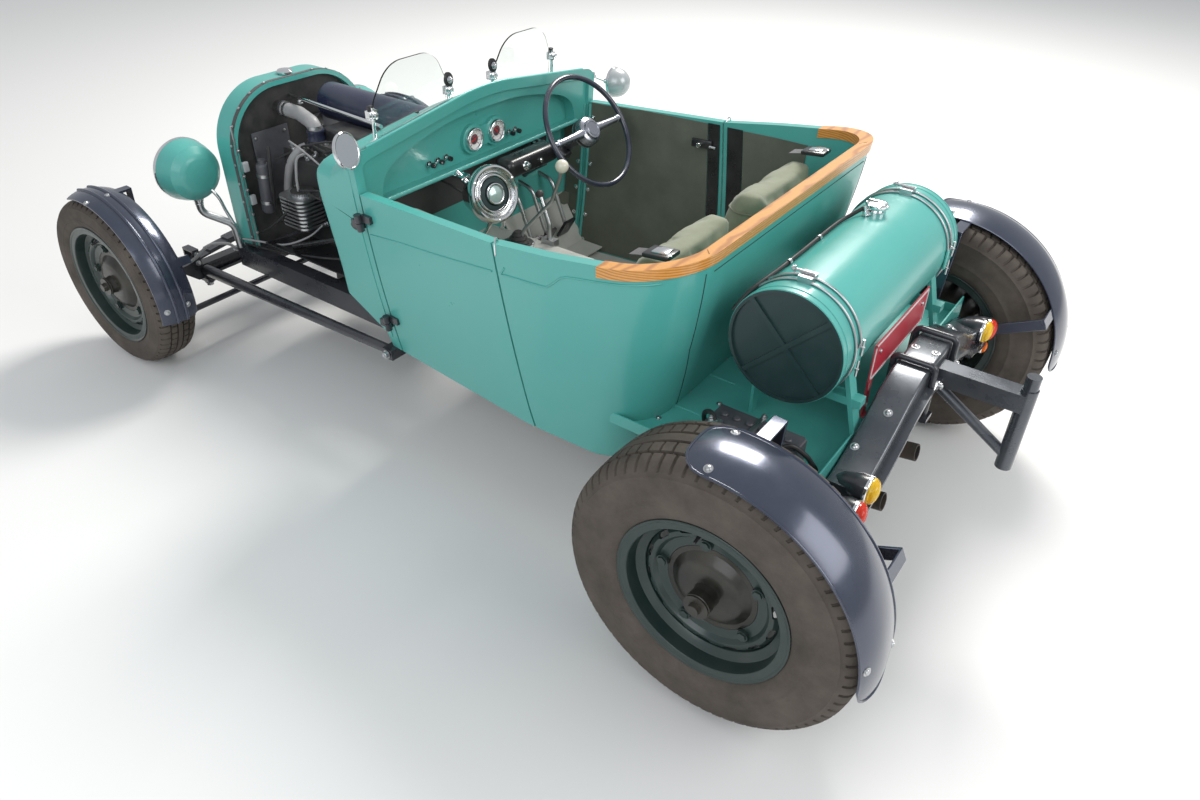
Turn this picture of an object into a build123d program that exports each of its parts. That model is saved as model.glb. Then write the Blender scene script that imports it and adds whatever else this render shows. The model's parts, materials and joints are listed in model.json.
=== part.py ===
from build123d import *
import os
from math import cos, radians, sin, tan

# Open hot rod: a hollow tub body with two doors on a narrow ladder frame, in millimetres.
# Every piece is modelled on the car's own lines: X forward from the rear axle, Y to the car's
# left, Z up from the ground. The last lines move each piece to the middle of the car's length.

# Wheels
wheelbase = 2390.0
bead_radius = 190.0
flange_radius = 208.0
drop_radius = 166.0
rear_tyre_radius = 352.0
rear_tyre_width = 212.0
rear_rim_width = 182.0
rear_wheel_y = 692.0
front_tyre_radius = 300.0
front_tyre_width = 150.0
front_rim_width = 130.0
front_wheel_y = 666.0
tyre_wall = 14.0
rim_sheet = 5.0
slot_count = 14
disc_opening = 112.0
lug_circle = 122.0
lug_count = 5
drum_radius = 132.0

# Clearances
fit_gap = 0.3
pin_gap = 0.05
moving_gap = 6.0

# Frame
rail_y = 285.0
rail_width = 50.0
rail_height = 76.0
rail_top = 334.0
rail_rear_top = 480.0
rail_front_x = wheelbase - 175.0
rail_rear_x = -100.0
kick_front_x = 330.0
kick_rear_x = 150.0
crossmember_front_x = -104.0
crossmember_depth = 82.0
crossmember_top = 640.0
crossmember_height = 84.0
crossmember_web = 56.0
crossmember_half = 440.0

# Axles and steering
gearbox_rear_x = 1185.0
spring_width = 46.0
axle_radius = 38.0
half_shaft_radius = 17.0
rear_plate_y = 562.0
kingpin_y = 548.0
kingpin_radius = 13.0
axle_boss_radius = 25.0
axle_boss_height = 70.0
spindle_radius = 14.0
front_plate_y = 577.0
plate_thickness = 8.0
beam_z = 225.0
arm_length = 140.0
tie_rod_z = 165.0
tie_rod_radius = 11.0
stud_radius = 7.0
rod_front = (wheelbase - 28.0, 385.0, 228.0)
rod_rear = (1280.0, 450.0, 318.0)

# Body
body_wall = 28.0
floor_thickness = 16.0
door_front_x = 1238.0
door_rear_top_x = 736.0
door_rear_low_x = 672.0
door_gap = 6.0
timber_depth = 26.0
hinge_heights = (450.0, 780.0)
hinge_stand_off = 15.0
hinge_pin_radius = 4.0
hinge_barrel_radius = 10.0
# height, front x, front half-width, middle x, middle half-width, rear x, rear half-width, corner
body_sections = (
    (rail_top, 1305.0, 441.0, 700.0, 500.0, 385.0, 492.0, 120.0),
    (620.0, 1355.0, 486.0, 600.0, 548.0, 285.0, 540.0, 150.0),
    (1060.0, 1436.0, 516.0, 560.0, 575.0, 222.0, 566.0, 170.0),
)
# the tub's upper edge from the door's front to the back, as x and z
sill_line = ((1238.0, 856.0), (736.0, 876.0), (428.0, 918.0), (200.0, 955.0))
scuttle_peak = 1018.0
scuttle_edge = 962.0

# Front end
radiator_x = wheelbase - 240.0
radiator_depth = 96.0
shell_half_width = 290.0
shell_bottom = 345.0
shell_top = 890.0
shell_wall = 16.0
lamp_x = wheelbase - 90.0
lamp_y = 390.0
lamp_z = 632.0
lamp_radius = 106.0

# Fuel tank and rear
tank_radius = 136.0
tank_length = 744.0
tank_x = 66.0
tank_z = 752.0
strap_y = 300.0
deck_thickness = 5.0
post_x = -392.0
post_radius = 20.0
post_top = 662.0
post_bottom = 400.0
pin_radius = 17.0
pin_length = 34.0

# Cockpit
steering_wheel_radius = 184.0
column_y = -262.0
column_rake = 35.0
column_top = (1065.0, -262.0, 852.0)
column_radius = 20.0
shaft_radius = 11.0
dash_x = 1250.0
dash_depth = 36.0
dash_sheet = 4.0
dash_bottom = 800.0
gauge_radius = 31.0

pieces = {}
SIDES = (("left", 1), ("right", -1))


def face_of(points):
    """A flat face with straight sides through the points."""
    return make_face(Polyline(*points, close=True))


def turned(points):
    """A solid of revolution about Y from a closed outline of (y, radius) points."""
    return revolve(Plane.YZ * face_of(points), Axis.Y, 360)


def sheet_ring(points, wall):
    """A pressed ring about Y: a strip of the wall's thickness along (y, radius) points."""
    strip = offset(Wire(Polyline(*points).edges()), amount=wall / 2, side=Side.BOTH)
    return revolve(Plane.YZ * make_face(strip.edges()), Axis.Y, 360)


def bar(start, end, radius, end_radius=None):
    """A round bar, or a cone with end_radius, from one point to another."""
    start, end = Vector(*start), Vector(*end)
    plane = Plane(start, z_dir=end - start)
    length = (end - start).length
    low = (Align.CENTER, Align.CENTER, Align.MIN)
    if end_radius is None:
        return plane * Cylinder(radius, length, align=low)
    return plane * Cone(radius, end_radius, length, align=low)


def bent_bar(points, radius, bend):
    """A round bar along straight runs joined by arcs of the bend radius."""
    path = FilletPolyline(*points, radius=bend)
    return sweep(Plane(path @ 0, z_dir=path % 0) * Circle(radius), path)


def block(x, y, z):
    """A box between the low and high value on each axis."""
    middle = Pos((x[0] + x[1]) / 2, (y[0] + y[1]) / 2, (z[0] + z[1]) / 2)
    return middle * Box(abs(x[1] - x[0]), abs(y[1] - y[0]), abs(z[1] - z[0]))


def side_plate(points, y):
    """A plate cut to (x, z) points, from the low to the high y."""
    return extrude(Plane.XZ * face_of(points), -(y[1] - y[0])).moved(Location((0, y[0], 0)))


def cross_plate(points, x):
    """A plate cut to (y, z) points, from the low to the high x."""
    return extrude(Plane.YZ * face_of(points), x[1] - x[0]).moved(Location((x[0], 0, 0)))


def mirrored(solid):
    """The same piece on the car's other side."""
    return mirror(solid, about=Plane.XZ)


def on_side(solid, side):
    """The piece as drawn on the left, or its mirror image for the right."""
    return solid if side > 0 else mirrored(solid)


def group(*solids):
    """Solids that don't touch, as one node."""
    return Compound(children=[piece for solid in solids for piece in solid.solids()])


def both(solid):
    """A piece and its mirror image as one node."""
    return group(solid, mirrored(solid))


# Wheels, drawn about Y at the wheel's middle with the outside of the car towards +Y


def tyre(radius, width, rim_width):
    """A hollow tyre with beads that seat on the rim."""
    seat = bead_radius + fit_gap
    inside = rim_width / 2 - rim_sheet - fit_gap
    half = width / 2
    side = (
        (inside, seat),
        (inside, flange_radius - 2),
        (half - 3, flange_radius + 18),
        (half, (flange_radius + radius) / 2 - 8),
        (half - 4, radius - 48),
        (half - 14, radius - 22),
        (half - 32, radius - 5),
        (half - 60, radius),
    )
    lining = (
        (half - 48, radius - tyre_wall - 4),
        (half - tyre_wall - 6, radius - 48),
        (half - tyre_wall, (flange_radius + radius) / 2 - 8),
        (inside - tyre_wall, flange_radius + 4),
        (inside - tyre_wall, seat),
    )
    right = [(-y, r) for y, r in reversed(side)]
    right_lining = [(-y, r) for y, r in reversed(lining)]
    return turned([*side, *right, *right_lining, *lining])


def rim(width, face_y):
    """A steel rim with a stepped disc, a wide opening, a row of slots and lug bolts."""
    half = width / 2 - rim_sheet / 2
    seat = bead_radius - rim_sheet / 2
    drop = drop_radius
    barrel = sheet_ring(
        (
            (half + 3, flange_radius),
            (half, flange_radius - 5),
            (half, seat),
            (half - 32, seat - 3),
            (half - 44, drop),
            (-half + 50, drop),
            (-half + 30, seat - 3),
            (-half, seat),
            (-half, flange_radius - 5),
            (-half - 3, flange_radius),
        ),
        rim_sheet,
    )
    ridge = face_y + 12
    disc = sheet_ring(
        (
            (face_y - 22, drop),
            (face_y + 4, drop - 6),
            (ridge, drop - 14),
            (ridge, drop - 23),
            (face_y + 2, drop - 31),
            (face_y, drop - 38),
            (face_y, disc_opening),
        ),
        rim_sheet,
    )
    slot = Rot(90, 0, 0) * extrude(SlotOverall(36, 11), 60, both=True)
    slots = [Rot(0, i * 360 / slot_count, 0) * Pos(0, face_y, drop - 12) * slot for i in range(slot_count)]
    shape = barrel + (disc - slots)
    head = Rot(90, 0, 0) * (extrude(RegularPolygon(11, 6), 9, both=True) + Cylinder(14, 10))
    for i in range(lug_count):
        shape += Rot(0, i * 360 / lug_count + 10, 0) * Pos(0, face_y + rim_sheet / 2 + 4, lug_circle) * head
    return shape


def hub(face_y, drum_y, nose):
    """A brake drum with a domed face, scalloped inside the lug bolts, and a nose with a nut."""
    back = face_y - rim_sheet / 2
    drum = turned(
        (
            (back, 0),
            (back, drum_radius - 4),
            (back - 6, drum_radius),
            (drum_y, drum_radius),
            (drum_y, drum_radius - 9),
            (back - 10, drum_radius - 9),
            (back - 10, 34),
            (drum_y, 34),
            (drum_y, 0),
        )
    )
    front = face_y + rim_sheet / 2 - 1
    pilot = disc_opening - rim_sheet / 2 - fit_gap
    face = turned(
        (
            (back - 2, 0),
            (back - 2, pilot),
            (front, pilot),
            (front, 97),
            (front + 3, 93),
            (front + 17, 76),
            (front + 23, 52),
            (front + 23, 31),
            (front + 42, 26),
            (front + 42, 30),
            (front + nose - 12, 30),
            (front + nose - 12, 15),
            (front + nose, 13),
            (front + nose, 0),
        )
    )
    notch = Rot(90, 0, 0) * Cylinder(16, 60)
    for i in range(lug_count):
        face -= Rot(0, i * 360 / lug_count + 10, 0) * Pos(0, back + 30, lug_circle) * notch
    return drum + face


# The frame: two rails with a kick-up over the rear axle, crossmembers and the tow bar
rail_inner = rail_y - rail_width / 2
rail_outer = rail_y + rail_width / 2
rail_side = (
    (rail_front_x, rail_top),
    (kick_front_x, rail_top),
    (kick_rear_x, rail_rear_top),
    (rail_rear_x, rail_rear_top),
    (rail_rear_x, rail_rear_top - rail_height),
    (kick_rear_x - 12, rail_rear_top - rail_height),
    (kick_front_x - 12, rail_top - rail_height),
    (rail_front_x, rail_top - rail_height),
)
rail = side_plate(rail_side, (rail_inner, rail_outer))
frame_cross = [
    block((x - 30, x + 30), (-rail_inner, rail_inner), (rail_top - rail_height + 8, rail_top - 12))
    for x in (420.0, 1300.0)
]
frame = rail + mirrored(rail) + frame_cross

# y and top edge of the crossmember's left half, from the middle outwards
arch_top = ((0.0, 0.0), (110.0, -2.0), (190.0, -30.0), (260.0, -68.0), (325.0, -98.0), (385.0, -118.0),
            (crossmember_half, -128.0))
arch_z = crossmember_top
cross_x = (crossmember_front_x - crossmember_depth, crossmember_front_x)
spring_x = (cross_x[0] + cross_x[1]) / 2


def arch_strip(top, bottom, x):
    """A plate that follows the crossmember's arch between two levels under its top edge."""
    high = [(y, arch_z + z - top) for y, z in arch_top]
    low = [(y, arch_z + z - bottom) for y, z in arch_top]
    left = [(-y, z) for y, z in high[:0:-1]]
    left_low = [(-y, z) for y, z in low[:0:-1]]
    return cross_plate([*left, *high, *low[::-1], *left_low[::-1]], x)


crossmember = arch_strip(0, crossmember_web, cross_x)
crossmember = fillet(crossmember.edges().filter_by(GeomType.LINE).filter_by(
    lambda edge: abs(edge.tangent_at(0).X) < 0.01 and edge.center().Z > arch_z - 129
    and edge.length > 20), 7)
crossmember += arch_strip(crossmember_web - 12, crossmember_web, (cross_x[0] - 20, cross_x[0] + 4))
crossmember += block(cross_x, (-105, 105), (arch_z - crossmember_height, arch_z - 20))
gusset = block((crossmember_front_x - 16, rail_rear_x), (rail_inner + 4, rail_outer - 4),
               (rail_rear_top - rail_height + 6, arch_z - 110))
crossmember = crossmember + gusset + mirrored(gusset)

tow_z = (arch_z - 70, arch_z - 22)
tow_tube = block((post_x, cross_x[0]), (-24, 24), tow_z)
post = bar((post_x, 0, post_bottom), (post_x, 0, post_top - pin_length), post_radius)
post += bar((post_x, 0, post_top - pin_length - 1), (post_x, 0, post_top), pin_radius)
brace = bar((post_x, 0, post_bottom + 30), (cross_x[0] + 10, 0, arch_z - crossmember_height + 12), 13)
brace -= crossmember
pieces["rear_crossmember"] = crossmember + tow_tube + post + brace

spring_top = arch_z - crossmember_height
rear_leaves = ((500.0, 7.0), (360.0, 7.0), (260.0, 7.0), (170.0, 7.0))


def leaf_spring(x, top, half_length, drop, leaf_rows, width):
    """A stack of bowed leaves, the longest at the bottom, under a flat seat."""
    stack = None
    total = sum(thickness for _, thickness in leaf_rows)
    level = top - total
    for reach, thickness in leaf_rows:
        fall = drop * (reach / half_length) ** 2
        low = ThreePointArc((-reach, level - fall), (0, level), (reach, level - fall))
        high = ThreePointArc(
            (-reach, level + thickness - fall), (0, level + thickness), (reach, level + thickness - fall)
        )
        ends = [Line(low @ 0, high @ 0), Line(low @ 1, high @ 1)]
        leaf = extrude(Plane.YZ * make_face([low, high, *ends]), width / 2, both=True)
        leaf = leaf.moved(Location((x, 0, 0)))
        stack = leaf if stack is None else stack + leaf
        level += thickness
    return stack


rear_leaf = leaf_spring(spring_x, spring_top, 500.0, 165.0, rear_leaves, spring_width)

# Rear axle with its housing, spring perches and brake plates
bore = bar((0, -700, rear_tyre_radius), (0, 700, rear_tyre_radius), half_shaft_radius + pin_gap)
tube_half = rear_plate_y + plate_thickness
axle = bar((0, -tube_half, rear_tyre_radius), (0, tube_half, rear_tyre_radius), axle_radius)
bowl = Pos(0, 0, rear_tyre_radius) * Sphere(112)
bowl = bowl & block((-112, 112), (-92, 92), (200, 500))
cover = bar((-108, 0, rear_tyre_radius), (-84, 0, rear_tyre_radius), 62, 84)
pinion = bar((60, 0, rear_tyre_radius), (210, 0, rear_tyre_radius), 74, 42)
shaft = bar((205, 0, rear_tyre_radius), (gearbox_rear_x + 5, 0, 376), 20)
perch = bar((0, 505, rear_tyre_radius), (spring_x, 505, 372), 22)
plate = bar((0, rear_plate_y, rear_tyre_radius), (0, tube_half, rear_tyre_radius), 136)
axle = axle + bowl + cover + pinion + shaft + perch + mirrored(perch) + plate + mirrored(plate)
axle = axle - bore - rear_leaf
pieces["rear_axle"] = axle

clamp_y = 78.0
clamp_x = (cross_x[0] - 9, cross_x[1] + 9)
clamp_top = arch_z + 9
clamp_bottom = spring_top - 62
clamp = bent_bar(
    (
        (clamp_x[0], clamp_y, clamp_bottom),
        (clamp_x[0], clamp_y, clamp_top),
        (clamp_x[1], clamp_y, clamp_top),
        (clamp_x[1], clamp_y, clamp_bottom),
    ),
    8.0,
    14.0,
)
clamp_plate = block((clamp_x[0] - 14, clamp_x[1] + 14), (clamp_y - 20, clamp_y + 20),
                    (spring_top - 52, spring_top - 40))
clamp = clamp + clamp_plate - crossmember - rear_leaf

# Front crossmember and the perch that carries the spring ahead of the rails
beam_top = beam_z + 26
front_spring_top = rail_top - 4
cross_front = block((rail_front_x - 60, rail_front_x), (-rail_inner, rail_inner),
                    (rail_top - rail_height + 8, rail_top))
nose = side_plate(
    (
        (rail_front_x - 20, rail_top + 46),
        (wheelbase + 52, rail_top + 46),
        (wheelbase + 52, front_spring_top),
        (wheelbase - 52, front_spring_top),
        (rail_front_x + 10, rail_top - rail_height + 8),
        (rail_front_x - 20, rail_top - rail_height + 8),
    ),
    (-50, 50),
)
cross_cap = block((rail_front_x, rail_front_x + 26), (-rail_outer, rail_outer),
                  (rail_top - rail_height, rail_top))
frame = frame + cross_front + nose + cross_cap
pieces["frame"] = frame

front_leaves = ((430.0, 7.0), (350.0, 7.0), (270.0, 7.0), (190.0, 7.0))
front_leaf = leaf_spring(wheelbase, front_spring_top, 430.0, 34.0, front_leaves, 46.0)
pieces["springs"] = group(front_leaf, rear_leaf + clamp + mirrored(clamp))

# Dropped front axle with a boss for each kingpin and a shackle up to the spring
axle_z = front_tyre_radius
axle_half = (
    (420, beam_z - 26),
    (500, axle_z - 30),
    (kingpin_y, axle_z - 30),
    (kingpin_y, axle_z + 30),
    (490, axle_z + 30),
    (410, beam_top),
)
beam = cross_plate([*axle_half, *[(-y, z) for y, z in reversed(axle_half)]], (-22, 22))
web_cut = block((8, 30), (-400, 400), (beam_z - 16, beam_z + 16))
beam = beam - web_cut - mirror(web_cut, about=Plane.YZ)
beam = beam.moved(Location((wheelbase, 0, 0)))
boss_z = (axle_z - axle_boss_height / 2, axle_z + axle_boss_height / 2)
boss = bar((wheelbase, kingpin_y, boss_z[0]), (wheelbase, kingpin_y, boss_z[1]), axle_boss_radius)
pin_bore = bar((wheelbase, kingpin_y, 200), (wheelbase, kingpin_y, 400), kingpin_radius + pin_gap)
shackle = block((wheelbase - 31, wheelbase + 31), (398, 424), (beam_top - 4, front_spring_top - 10))
shackle -= block((wheelbase - 24, wheelbase + 24), (390, 430), (beam_top + 6, front_spring_top - 18))
front_axle = beam + boss + mirrored(boss) + shackle + mirrored(shackle)
front_axle = front_axle - pin_bore - mirrored(pin_bore) - front_leaf

radius_rod = bar(rod_front, rod_rear, 21, 15)
rod_fork = block((wheelbase - 46, wheelbase + 30), (rod_front[1] - 16, rod_front[1] + 16),
                 (beam_z - 40, beam_z - 26))
rod_drop = bar((rod_front[0], rod_front[1], beam_z - 36), rod_front, 16)
rod_eye = block((rod_rear[0] - 20, rod_rear[0] + 20), (rail_outer, rod_rear[1] + 22),
                (rod_rear[2] - 18, rail_top))
radius_rod = radius_rod + rod_fork + rod_drop + rod_eye - frame
pieces["front_axle"] = front_axle + radius_rod + mirrored(radius_rod)

# Knuckles, each with its kingpin, brake plate, spindle and steering arm
front_plate = (front_plate_y, front_plate_y + plate_thickness)
eye = (wheelbase - arm_length, kingpin_y, tie_rod_z + 30)
lug_low = (boss_z[0] - 20, boss_z[0] - 1)
lug_high = (boss_z[1] + 1, boss_z[1] + 20)
knuckle = bar((wheelbase, kingpin_y, lug_low[0]), (wheelbase, kingpin_y, lug_high[1]), kingpin_radius)
for low, high in (lug_low, lug_high):
    knuckle += bar((wheelbase, kingpin_y, low), (wheelbase, kingpin_y, high), axle_boss_radius)
    knuckle += block((wheelbase - 20, wheelbase + 20), (kingpin_y, front_plate[1]), (low, high))
knuckle += bar((wheelbase, front_plate[0], axle_z), (wheelbase, front_plate[1], axle_z), 112)
spindle_end = front_wheel_y + 30
knuckle += bar((wheelbase, front_plate[0], axle_z), (wheelbase, spindle_end, axle_z), spindle_radius)
knuckle += bar((wheelbase - 20, kingpin_y + 14, lug_low[0] + 8), eye, 13, 11)
knuckle += bar((eye[0], eye[1], eye[2] - 10), (eye[0], eye[1], eye[2] + 10), 19)
knuckle -= bar((eye[0], eye[1], eye[2] - 30), (eye[0], eye[1], eye[2] + 30), stud_radius + pin_gap)
for side_name, side in SIDES:
    pieces[f"knuckle_{side_name}"] = on_side(knuckle, side)

tie_rod = bar((eye[0], -eye[1], tie_rod_z), (eye[0], eye[1], tie_rod_z), tie_rod_radius)
for y in (-eye[1], eye[1]):
    tie_rod += bar((eye[0], y, tie_rod_z - 16), (eye[0], y, tie_rod_z + 12), 16)
    tie_rod += bar((eye[0], y, tie_rod_z), (eye[0], y, eye[2] + 16), stud_radius)
pieces["tie_rod"] = tie_rod

# Wheels in place
front_face = front_rim_width / 2 - 42
rear_face = rear_rim_width / 2 - 55
wheel_rows = (
    ("front", wheelbase, front_wheel_y, front_tyre_radius, front_tyre_width, front_rim_width, front_face),
    ("rear", 0.0, rear_wheel_y, rear_tyre_radius, rear_tyre_width, rear_rim_width, rear_face),
)
for end, x, y, radius, width, rim_width, face_y in wheel_rows:
    place = Location((x, y, radius))
    if end == "front":
        drum_y = front_plate[1] + moving_gap - y
        hub_part = hub(face_y, drum_y, 62)
        hub_part -= bar((0, -200, 0), (0, spindle_end - y + 4, 0), spindle_radius + pin_gap)
    else:
        drum_y = tube_half + moving_gap - y
        hub_part = hub(face_y, drum_y, 80)
        hub_part += bar((0, drum_y - 180, 0), (0, drum_y + 20, 0), half_shaft_radius)
    tyre_part = tyre(radius, width, rim_width)
    rim_part = rim(rim_width, face_y)
    for side_name, side in SIDES:
        for kind, solid in (("tyre", tyre_part), ("rim", rim_part), ("hub", hub_part)):
            pieces[f"{end}_{kind}_{side_name}"] = on_side(solid.moved(place), side)


def mudguard(crown, width, drop, start, end, ribs=()):
    """A crowned strip with rounded ends about Y, from the start to the end angle in degrees."""
    half = width / 2
    low = crown - drop
    outer = ThreePointArc((-half, low), (0, crown), (half, low))
    inner = ThreePointArc((half, low - guard_sheet), (0, crown - guard_sheet), (-half, low - guard_sheet))
    ends = [Line(outer @ 1, inner @ 0), Line(inner @ 1, outer @ 0)]
    section = Plane.YZ * make_face([outer, *ends, inner])
    strip = revolve(section, Axis.Y, end - start)
    for y, z in ribs:
        strip += revolve(Plane.YZ * Pos(y, z) * Circle(6), Axis.Y, end - start)
    strip = Rot(0, start, 0) * strip
    corner = half * 0.7
    for angle, way in ((start, -1), (end, 1)):
        square = Pos(way * 20, 0) * Rectangle(2 * corner + 40, width + 40)
        keep = Pos(way * (-corner - 1), 0) * RectangleRounded(4 * corner, width + 0.2, corner)
        cutter = extrude(square - keep, crown + 40)
        strip -= Rot(0, angle, 0) * cutter
    return strip


def guard_stay(angle, width, y, reach, foot_y, top):
    """A flat arm that stands beside the wheel with a foot under the guard."""
    arm = block((-width / 2, width / 2), (y - 8, y), (reach, top))
    foot = block((-width / 2, width / 2), (y - 8, foot_y), (top - 8, top))
    return Rot(0, angle, 0) * (arm + foot)


# Mudguards with their stays: the rear pair stands on the axle, the front pair on the knuckles
guard_sheet = 4.0
rear_guard_y = -22.0
rear_crown = rear_tyre_radius + 40
guard = mudguard(rear_crown, 190, 30, -96, 18).moved(Location((0, rear_guard_y, 0)))
for angle in (-2.0, -64.0):
    guard += guard_stay(angle, 32, rear_plate_y - rear_wheel_y, 70, -72, rear_crown - 17)
guard = guard.moved(Location((0, rear_wheel_y, rear_tyre_radius))) - pieces["rear_axle"]
pieces["rear_mudguards"] = both(guard)

front_crown = front_tyre_radius + 23
rib_height = front_crown - 1
guard = mudguard(front_crown, 128, 15, -100, 16, ((-17, rib_height), (17, rib_height)))
for angle in (-4.0, -66.0):
    guard += guard_stay(angle, 28, front_plate_y - front_wheel_y, 66, -42, front_crown - 9)
guard = guard.moved(Location((wheelbase, front_wheel_y, front_tyre_radius))) - knuckle
for side_name, side in SIDES:
    pieces[f"front_mudguard_{side_name}"] = on_side(guard, side)

# The body: a lofted tub, with its walls, cowl, doors and rear cut from one outer and one inner form


def body_section(front_x, front_y, middle_x, middle_y, rear_x, rear_y, corner):
    """The tub's outline at one height, with rounded rear corners."""
    outline = face_of(
        (
            (front_x, -front_y),
            (front_x, front_y),
            (middle_x, middle_y),
            (rear_x, rear_y),
            (rear_x, -rear_y),
            (middle_x, -middle_y),
        )
    )
    outline = fillet([v for v in outline.vertices() if abs(v.X - rear_x) < 1], corner)
    outline = fillet([v for v in outline.vertices() if abs(v.X - middle_x) < 1], 500)
    return fillet([v for v in outline.vertices() if abs(v.X - front_x) < 1], 36)


def body_form(inset):
    """The tub as a solid, drawn in from its outside by the inset on every side."""
    faces = []
    for height, *sizes in body_sections:
        face = body_section(*sizes)
        if inset:
            face = offset(face, -inset)
        faces.append(Pos(0, 0, height) * face)
    return loft(faces)


def crown_form(inset):
    """The room under the cowl's crowned top, which falls towards the front."""
    faces = []
    for x, half, edge, peak, corner in crown_sections:
        half, edge, peak, corner = half - inset, edge - inset, peak - inset, corner - inset * 0.6
        points = ((-half, 200), (-half, edge), (0, peak), (half, edge), (half, 200))
        face = face_of(points)
        face = fillet([v for v in face.vertices() if abs(v.Y - edge) < 1], corner)
        face = fillet([v for v in face.vertices() if abs(v.Y - peak) < 1], 900)
        faces.append(Plane.YZ.offset(x) * face)
    return loft(faces)


# x, half-width, edge height, peak height, corner radius
crown_sections = (
    (door_front_x - 8, 535.0, scuttle_edge, scuttle_peak + 12, 62.0),
    (1440.0, 505.0, 859.0, 951.0, 58.0),
)
outer = body_form(0)
inner = body_form(body_wall)
far = 2000.0
cowl_room = block((door_front_x, far), (-far, far), (0, far))
cowl = (outer & crown_form(0) & cowl_room) - (inner & crown_form(body_wall))
column_slope = tan(radians(column_rake))


def column_point(x):
    """The point on the steering column's line at one x."""
    return (x, column_y, column_top[2] - (x - column_top[0]) * column_slope)


column_hole = bar(column_point(1290), column_point(1480), column_radius + 2)
cowl -= column_hole

top_line = [(x, z) for x, z in sill_line]
under_top = side_plate([(far, 0), (far, sill_line[0][1]), *top_line, (-far, sill_line[-1][1]), (-far, 0)],
                       (-far, far))
under_timber = under_top.moved(Location((0, 0, -timber_depth)))
shaft_room = block((-far, 950), (-46, 46), (0, 408))
gearbox_room = block((912, far), (-98, 98), (0, 530))
gearbox_room = fillet(gearbox_room.edges().filter_by(Axis.X).group_by(Axis.Z)[-1], 52)
cowl -= gearbox_room
wall = (outer - inner - shaft_room) & under_top


def door_space(gap):
    """The room of the doors, smaller by the gap at both ends, with a leaning rear edge."""
    low = door_rear_low_x + gap
    high = door_rear_top_x + gap
    slope = (high - low) / (sill_line[1][1] - rail_top)
    corners = ((low - slope * rail_top, 0), (high + slope * (far - sill_line[1][1]), far))
    front = door_front_x - gap
    return side_plate([*corners, (front, far), (front, 0)], (-far, far))


behind_doors = block((-far, door_front_x), (-far, far), (0, far)) - door_space(0)
tub_wall = wall & behind_doors
timber_room = block((-far, sill_line[2][0]), (-far, far), (0, far))
timber_strip = (timber_room & under_top) - under_timber
tub = tub_wall - timber_strip
timber = ((body_form(-5) - body_form(body_wall + 4)) & timber_strip) - tub
pieces["tub"] = tub
pieces["timber_rail"] = timber
pieces["cowl"] = cowl - tub

door_part = wall & door_space(door_gap) & block((-far, far), (0, far), (0, far))
for side_name, side in SIDES:
    pieces[f"door_{side_name}"] = on_side(door_part, side)

# Door hinges on an axis that leans with the body's side
middle_row = body_sections[1]
side_slope = (middle_row[4] - middle_row[2]) / (middle_row[1] - middle_row[3])
front_mid = middle_row[2] + side_slope * (middle_row[1] - door_front_x)
hinge_reach = 26.0
hinge_y0 = front_mid + hinge_stand_off


def hinge_point(z):
    """The hinge line's point at one height."""
    return (door_front_x, hinge_y0 + (z - body_sections[1][0]) * hinge_lean, z)


hinge_lean = 0.135
body_leaves = []
door_leaves = []
for height in hinge_heights:
    low, middle, high = (hinge_point(height + step) for step in (-24, 0, 24))
    seam = hinge_point(height + 2)
    y = middle[1]
    leaf = block((door_front_x, door_front_x + hinge_reach + 12), (y - 60, y - 4), (low[2] + 2, middle[2]))
    fixed = bar(low, middle, hinge_barrel_radius) + leaf - outer
    fixed += bar(middle, high, hinge_pin_radius)
    leaf = block((door_front_x - hinge_reach - 12, door_front_x), (y - 60, y - 4), (seam[2], high[2] - 2))
    moving = bar(seam, high, hinge_barrel_radius) + leaf - outer
    moving -= bar(low, hinge_point(height + 60), hinge_pin_radius + pin_gap)
    tongue = (y - 60, y - hinge_barrel_radius)
    moving = moving - block((door_front_x - 4, door_front_x + 20), tongue, (0, far))
    body_leaves.append(fixed)
    door_leaves.append(moving)
pieces["cowl_hinges"] = both(group(*body_leaves))
for side_name, side in SIDES:
    pieces[f"door_hinges_{side_name}"] = on_side(group(*door_leaves), side)

# Floor with the gearbox tunnel
floor_slab = block((-far, far), (-far, far), (rail_top, rail_top + floor_thickness))
tunnel_out = block((900, far), (-108, 108), (rail_top, 540))
tunnel_out = fillet(tunnel_out.edges().filter_by(Axis.X).group_by(Axis.Z)[-1], 60)
shaft_cover = block((-far, 912), (-52, 52), (rail_top, 414))
cabin_floor = (inner & (floor_slab + tunnel_out + shaft_cover)) - gearbox_room - shaft_room
door_strip = door_space(-door_gap) - body_form(body_wall + door_gap)
cabin_floor -= door_strip
pieces["floor"] = cabin_floor

# Radiator with its arched shell, fan shroud and hoses


def shell_face(inset, bottom):
    """The radiator shell's round-topped outline."""
    half = shell_half_width - inset
    top = shell_top - inset
    face = face_of(((-half, bottom), (-half, top), (half, top), (half, bottom)))
    return fillet([v for v in face.vertices() if abs(v.Y - top) < 1], shell_corner - inset)


shell_corner = 205.0
shell = extrude(Plane.YZ * shell_face(0, shell_bottom), radiator_depth)
shell -= extrude(Plane.YZ * shell_face(shell_wall, shell_bottom - 10), radiator_depth)
lip = extrude(Plane.YZ * shell_face(shell_wall - 1, shell_bottom), 8)
lip -= extrude(Plane.YZ * shell_face(shell_wall + 26, shell_bottom - 10), 8)
shell = (shell + lip.moved(Location((radiator_depth - 8, 0, 0)))).moved(Location((radiator_x, 0, 0)))
pieces["radiator_shell"] = shell - frame

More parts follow.
